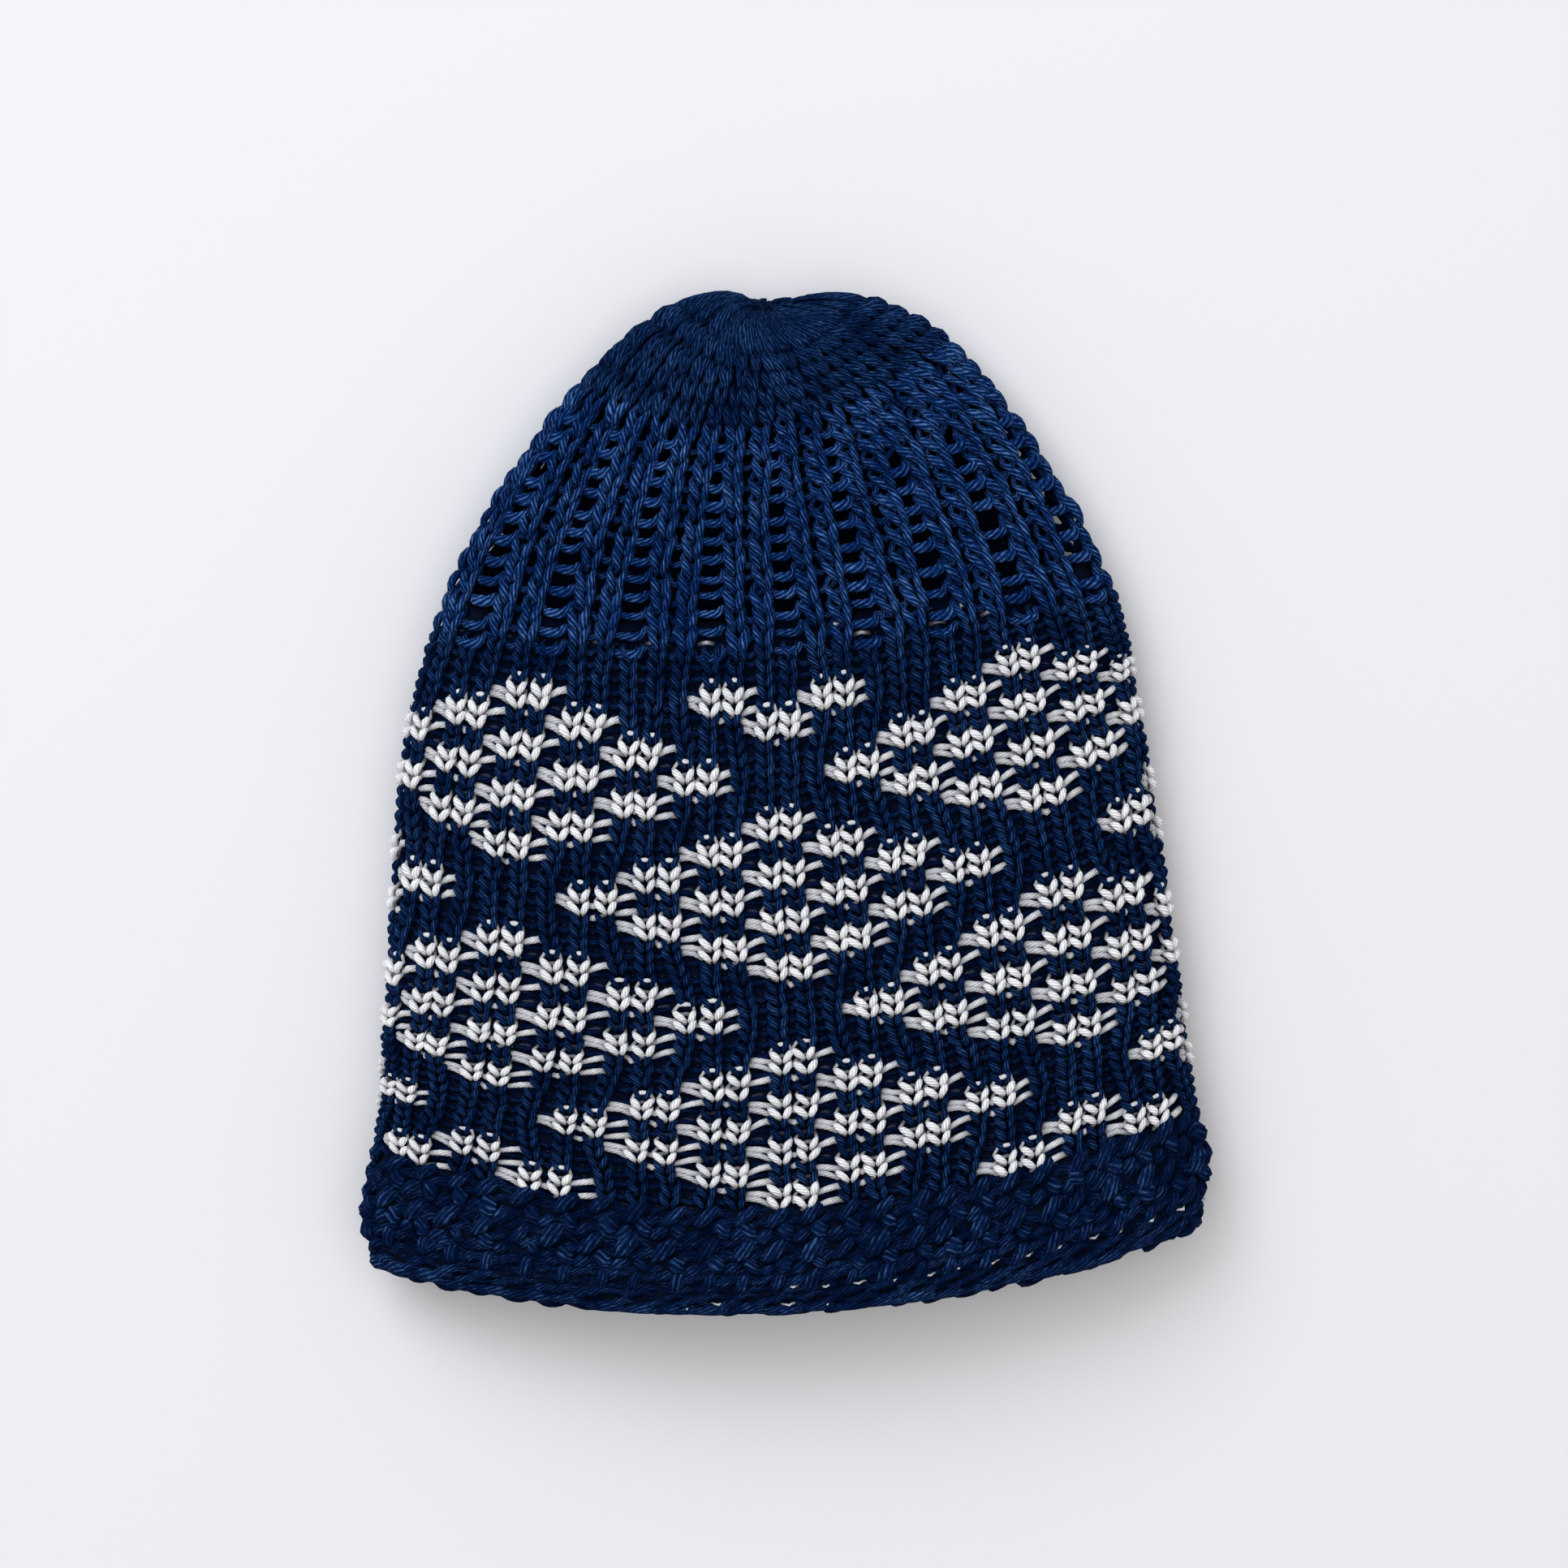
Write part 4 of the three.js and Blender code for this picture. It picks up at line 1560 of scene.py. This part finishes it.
@dataclass
class InnerGround:
    """A stand-in for the dense inner side of the knitting, where yarns lie matted behind the stitches.

    It is a closed wall of its own between two depths, round a stretch of stitches, with a purled surface:
    low knuckles, one for each stitch. Behind the openwork's gaps, where the knitting is open, it is a dark
    sheet of painted shade. first and end are where it starts and ends, in stitches from the
    front's middle. outer is the depth of its outer side, wall its thickness, across how many faces it has to
    a stitch, and row the height of a level, which is that of the body's rows.
    """

    fabric: Fabric
    name: str
    nodes: tuple
    bottom: float
    top: float
    first: float = 0.0
    end: float = STITCHES
    outer: float = -3.6
    wall: float = 1.4
    across: int = 4
    row: float = 2.953

    def surface(self, depth: float, levels: np.ndarray, column: np.ndarray) -> np.ndarray:
        """A surface at a depth, as levels by places round the cap.

        Args:
            depth: distance outwards, negative inside the cap's surface.
            levels: heights up the cap.
            column: places in stitch widths from the front's middle.

        Returns:
            Points in metres.
        """
        along = levels[:, None] + np.zeros(len(column))
        place = column + self.fabric.drift_at(column + 0 * along, along)
        return self.fabric.form.place(place / STITCHES, along, np.full(along.shape, depth)) * MM

    def build(self, finish: bpy.types.Material, slot: Slot) -> None:
        """Builds the wall: its two sides, its rims, and ends where it isn't a full round.

        Args:
            finish: the wall's finish.
            slot: the record's slot for it.
        """
        levels = np.linspace(self.bottom, self.top, int((self.top - self.bottom) / self.row) + 1)
        column = np.linspace(self.first, self.end, int((self.end - self.first) * self.across) + 1)
        outside = self.surface(self.outer, levels, column)
        inside = self.surface(self.outer - self.wall, levels, column)
        loop = np.concatenate([outside, inside[::-1]])
        count, across = loop.shape[:2]
        vertex = np.arange(count * across).reshape(count, across)
        if self.end - self.first == STITCHES:
            vertex[:, -1] = vertex[:, 0]
        above = np.roll(vertex, -1, 0)
        sides = np.stack([vertex[:, :-1], vertex[:, 1:], above[:, 1:], above[:, :-1]], -1)
        sides = sides.reshape(-1, 4)
        height = np.concatenate([levels, levels[::-1]]) / self.row
        v = np.broadcast_to(height[:, None], vertex.shape)
        up = np.roll(v, -1, 0)
        u = np.broadcast_to(column, vertex.shape)
        here, following = u[:, :-1], u[:, 1:]
        corners = [here, v[:, :-1], following, v[:, 1:], following, up[:, 1:], here, up[:, :-1]]
        uv = np.stack(corners, -1).reshape(-1, 2)
        if self.end - self.first < STITCHES:
            half = len(levels)
            out, back = vertex[:half], vertex[half:][::-1]
            near = np.stack([out[1:, 0], back[1:, 0], back[:-1, 0], out[:-1, 0]], -1)
            far = np.stack([out[:-1, -1], back[:-1, -1], back[1:, -1], out[1:, -1]], -1)
            sides = np.concatenate([sides, near, far])
            uv = np.concatenate([uv, np.zeros((8 * (half - 1), 2))])
        points = np.concatenate([loop.reshape(-1, 3), np.full((loop.size // 3, 1), -DEEP)], 1)
        mesh = YarnMesh(points, sides, uv).without_loose_points()
        mesh.to_piece(self.name, finish, slot, self.nodes)


# ---- The room ----


@dataclass(frozen=True)
class Lamp:
    """A square soft light that faces the cap, with its side in metres and its power in watts."""

    name: str
    place: tuple
    size: float
    power: float
    colour: str

    def build(self) -> None:
        """Hangs the light, turned so that it shines at the cap's middle."""
        lamp = bpy.data.lights.new(self.name, "AREA")
        lamp.size = self.size
        lamp.energy = self.power
        lamp.color = linear(self.colour)[:3]
        hung = bpy.data.objects.new(self.name, lamp)
        hung.location = self.place
        x, y, z = np.array(self.place) / np.linalg.norm(self.place)
        hung.rotation_euler = (np.arccos(z), 0, np.arctan2(x, -y))
        bpy.context.scene.collection.objects.link(hung)


@dataclass(frozen=True)
class Room:
    """A pale floor, soft light from the crown's side and a camera straight above the cap."""

    floor_size: float = 6.0
    floor_colour: str = "#d9dadf"
    floor_roughness: float = 0.9
    floor_specular: float = 0.1
    lamps: tuple = (
        Lamp("window", (-1.1, 1.5, 1.9), size=1.8, power=43, colour="#f3f8ff"),
        Lamp("ceiling", (0.1, 0.1, 2.4), size=2.6, power=22, colour="#ffffff"),
    )
    sky_colour: str = "#f6f3ee"
    sky_strength: float = 0.68
    camera_height: float = 1.4
    view_width: float = 0.3864
    look_at: tuple = (-0.0002, 0.0052)
    sensor: float = 36.0

    def floor(self) -> None:
        """A wide matt floor under the cap."""
        half = self.floor_size / 2
        corners = [(-half, -half, 0), (half, -half, 0), (half, half, 0), (-half, half, 0)]
        mesh = bpy.data.meshes.new("floor")
        mesh.from_pydata(corners, [], [(0, 1, 2, 3)])
        piece = bpy.data.objects.new("floor", mesh)
        bpy.context.scene.collection.objects.link(piece)
        made = bpy.data.materials.new("painted_board")
        made.use_nodes = True
        skin = made.node_tree.nodes["Principled BSDF"]
        skin.inputs["Base Color"].default_value = linear(self.floor_colour)
        skin.inputs["Roughness"].default_value = self.floor_roughness
        skin.inputs["Specular IOR Level"].default_value = self.floor_specular
        mesh.materials.append(made)

    def build(self) -> None:
        """Sets up floor, lights, sky and camera."""
        self.floor()
        for lamp in self.lamps:
            lamp.build()
        sky = bpy.data.worlds.new("room_light")
        sky.use_nodes = True
        background = sky.node_tree.nodes["Background"]
        background.inputs["Color"].default_value = linear(self.sky_colour)
        background.inputs["Strength"].default_value = self.sky_strength
        bpy.context.scene.world = sky
        eye = bpy.data.cameras.new("overhead")
        eye.sensor_width = self.sensor
        eye.lens = self.sensor * self.camera_height / self.view_width
        held = bpy.data.objects.new("overhead", eye)
        held.location = (*self.look_at, self.camera_height)
        bpy.context.scene.collection.objects.link(held)
        bpy.context.scene.camera = held
        bpy.context.scene.view_settings.view_transform = "Standard"


def main() -> None:
    """Builds the room and the cap."""
    logging.basicConfig(level=logging.INFO, format="%(name)s %(message)s")
    Room().build()
    fabric = Fabric()
    navy, body_crown_navy, white = NAVY_YARN.material(), DARKER_NAVY_YARN.material(), WHITE_YARN.material()
    matted, dark = INNER_NAVY_IN_SHADE.material(), INNER_DEEP_SHADE.material()
    band = InnerGround(fabric, "band_inside", ("brim_band",), 1.0, 26.0, outer=-2.6, wall=1.6)
    body = InnerGround(fabric, "body_inside", ("patterned_body",), 26.4, 171.5)
    # Behind the openwork's back gaps, where the knitting is open, a closed dark wall stands as painted shade
    # inside the cap.
    back = InnerGround(fabric, "ribs_painted_shade_backing", ("openwork_ribs",), 171.7, 218.0, first=15.5, end=38.5)
    crown = InnerGround(fabric, "crown_inside", ("crown",), 218.4, 250.0, outer=-2.8, wall=1.0)
    # The band, the openwork and the crown take the inner navy that is darkened as painted shade.
    band.build(dark, Slot.BRIM)
    body.build(matted, Slot.NAVY)
    back.build(dark, Slot.NAVY)
    crown.build(dark, Slot.NAVY)
    BrimBand(fabric).build(BAND_YARN.material(), white)
    PatternedBody(fabric).build(body_crown_navy, white)
    OpenworkRibs(fabric).build(navy, white)
    Crown(fabric).build(body_crown_navy)


if __name__ == "__main__":
    main()
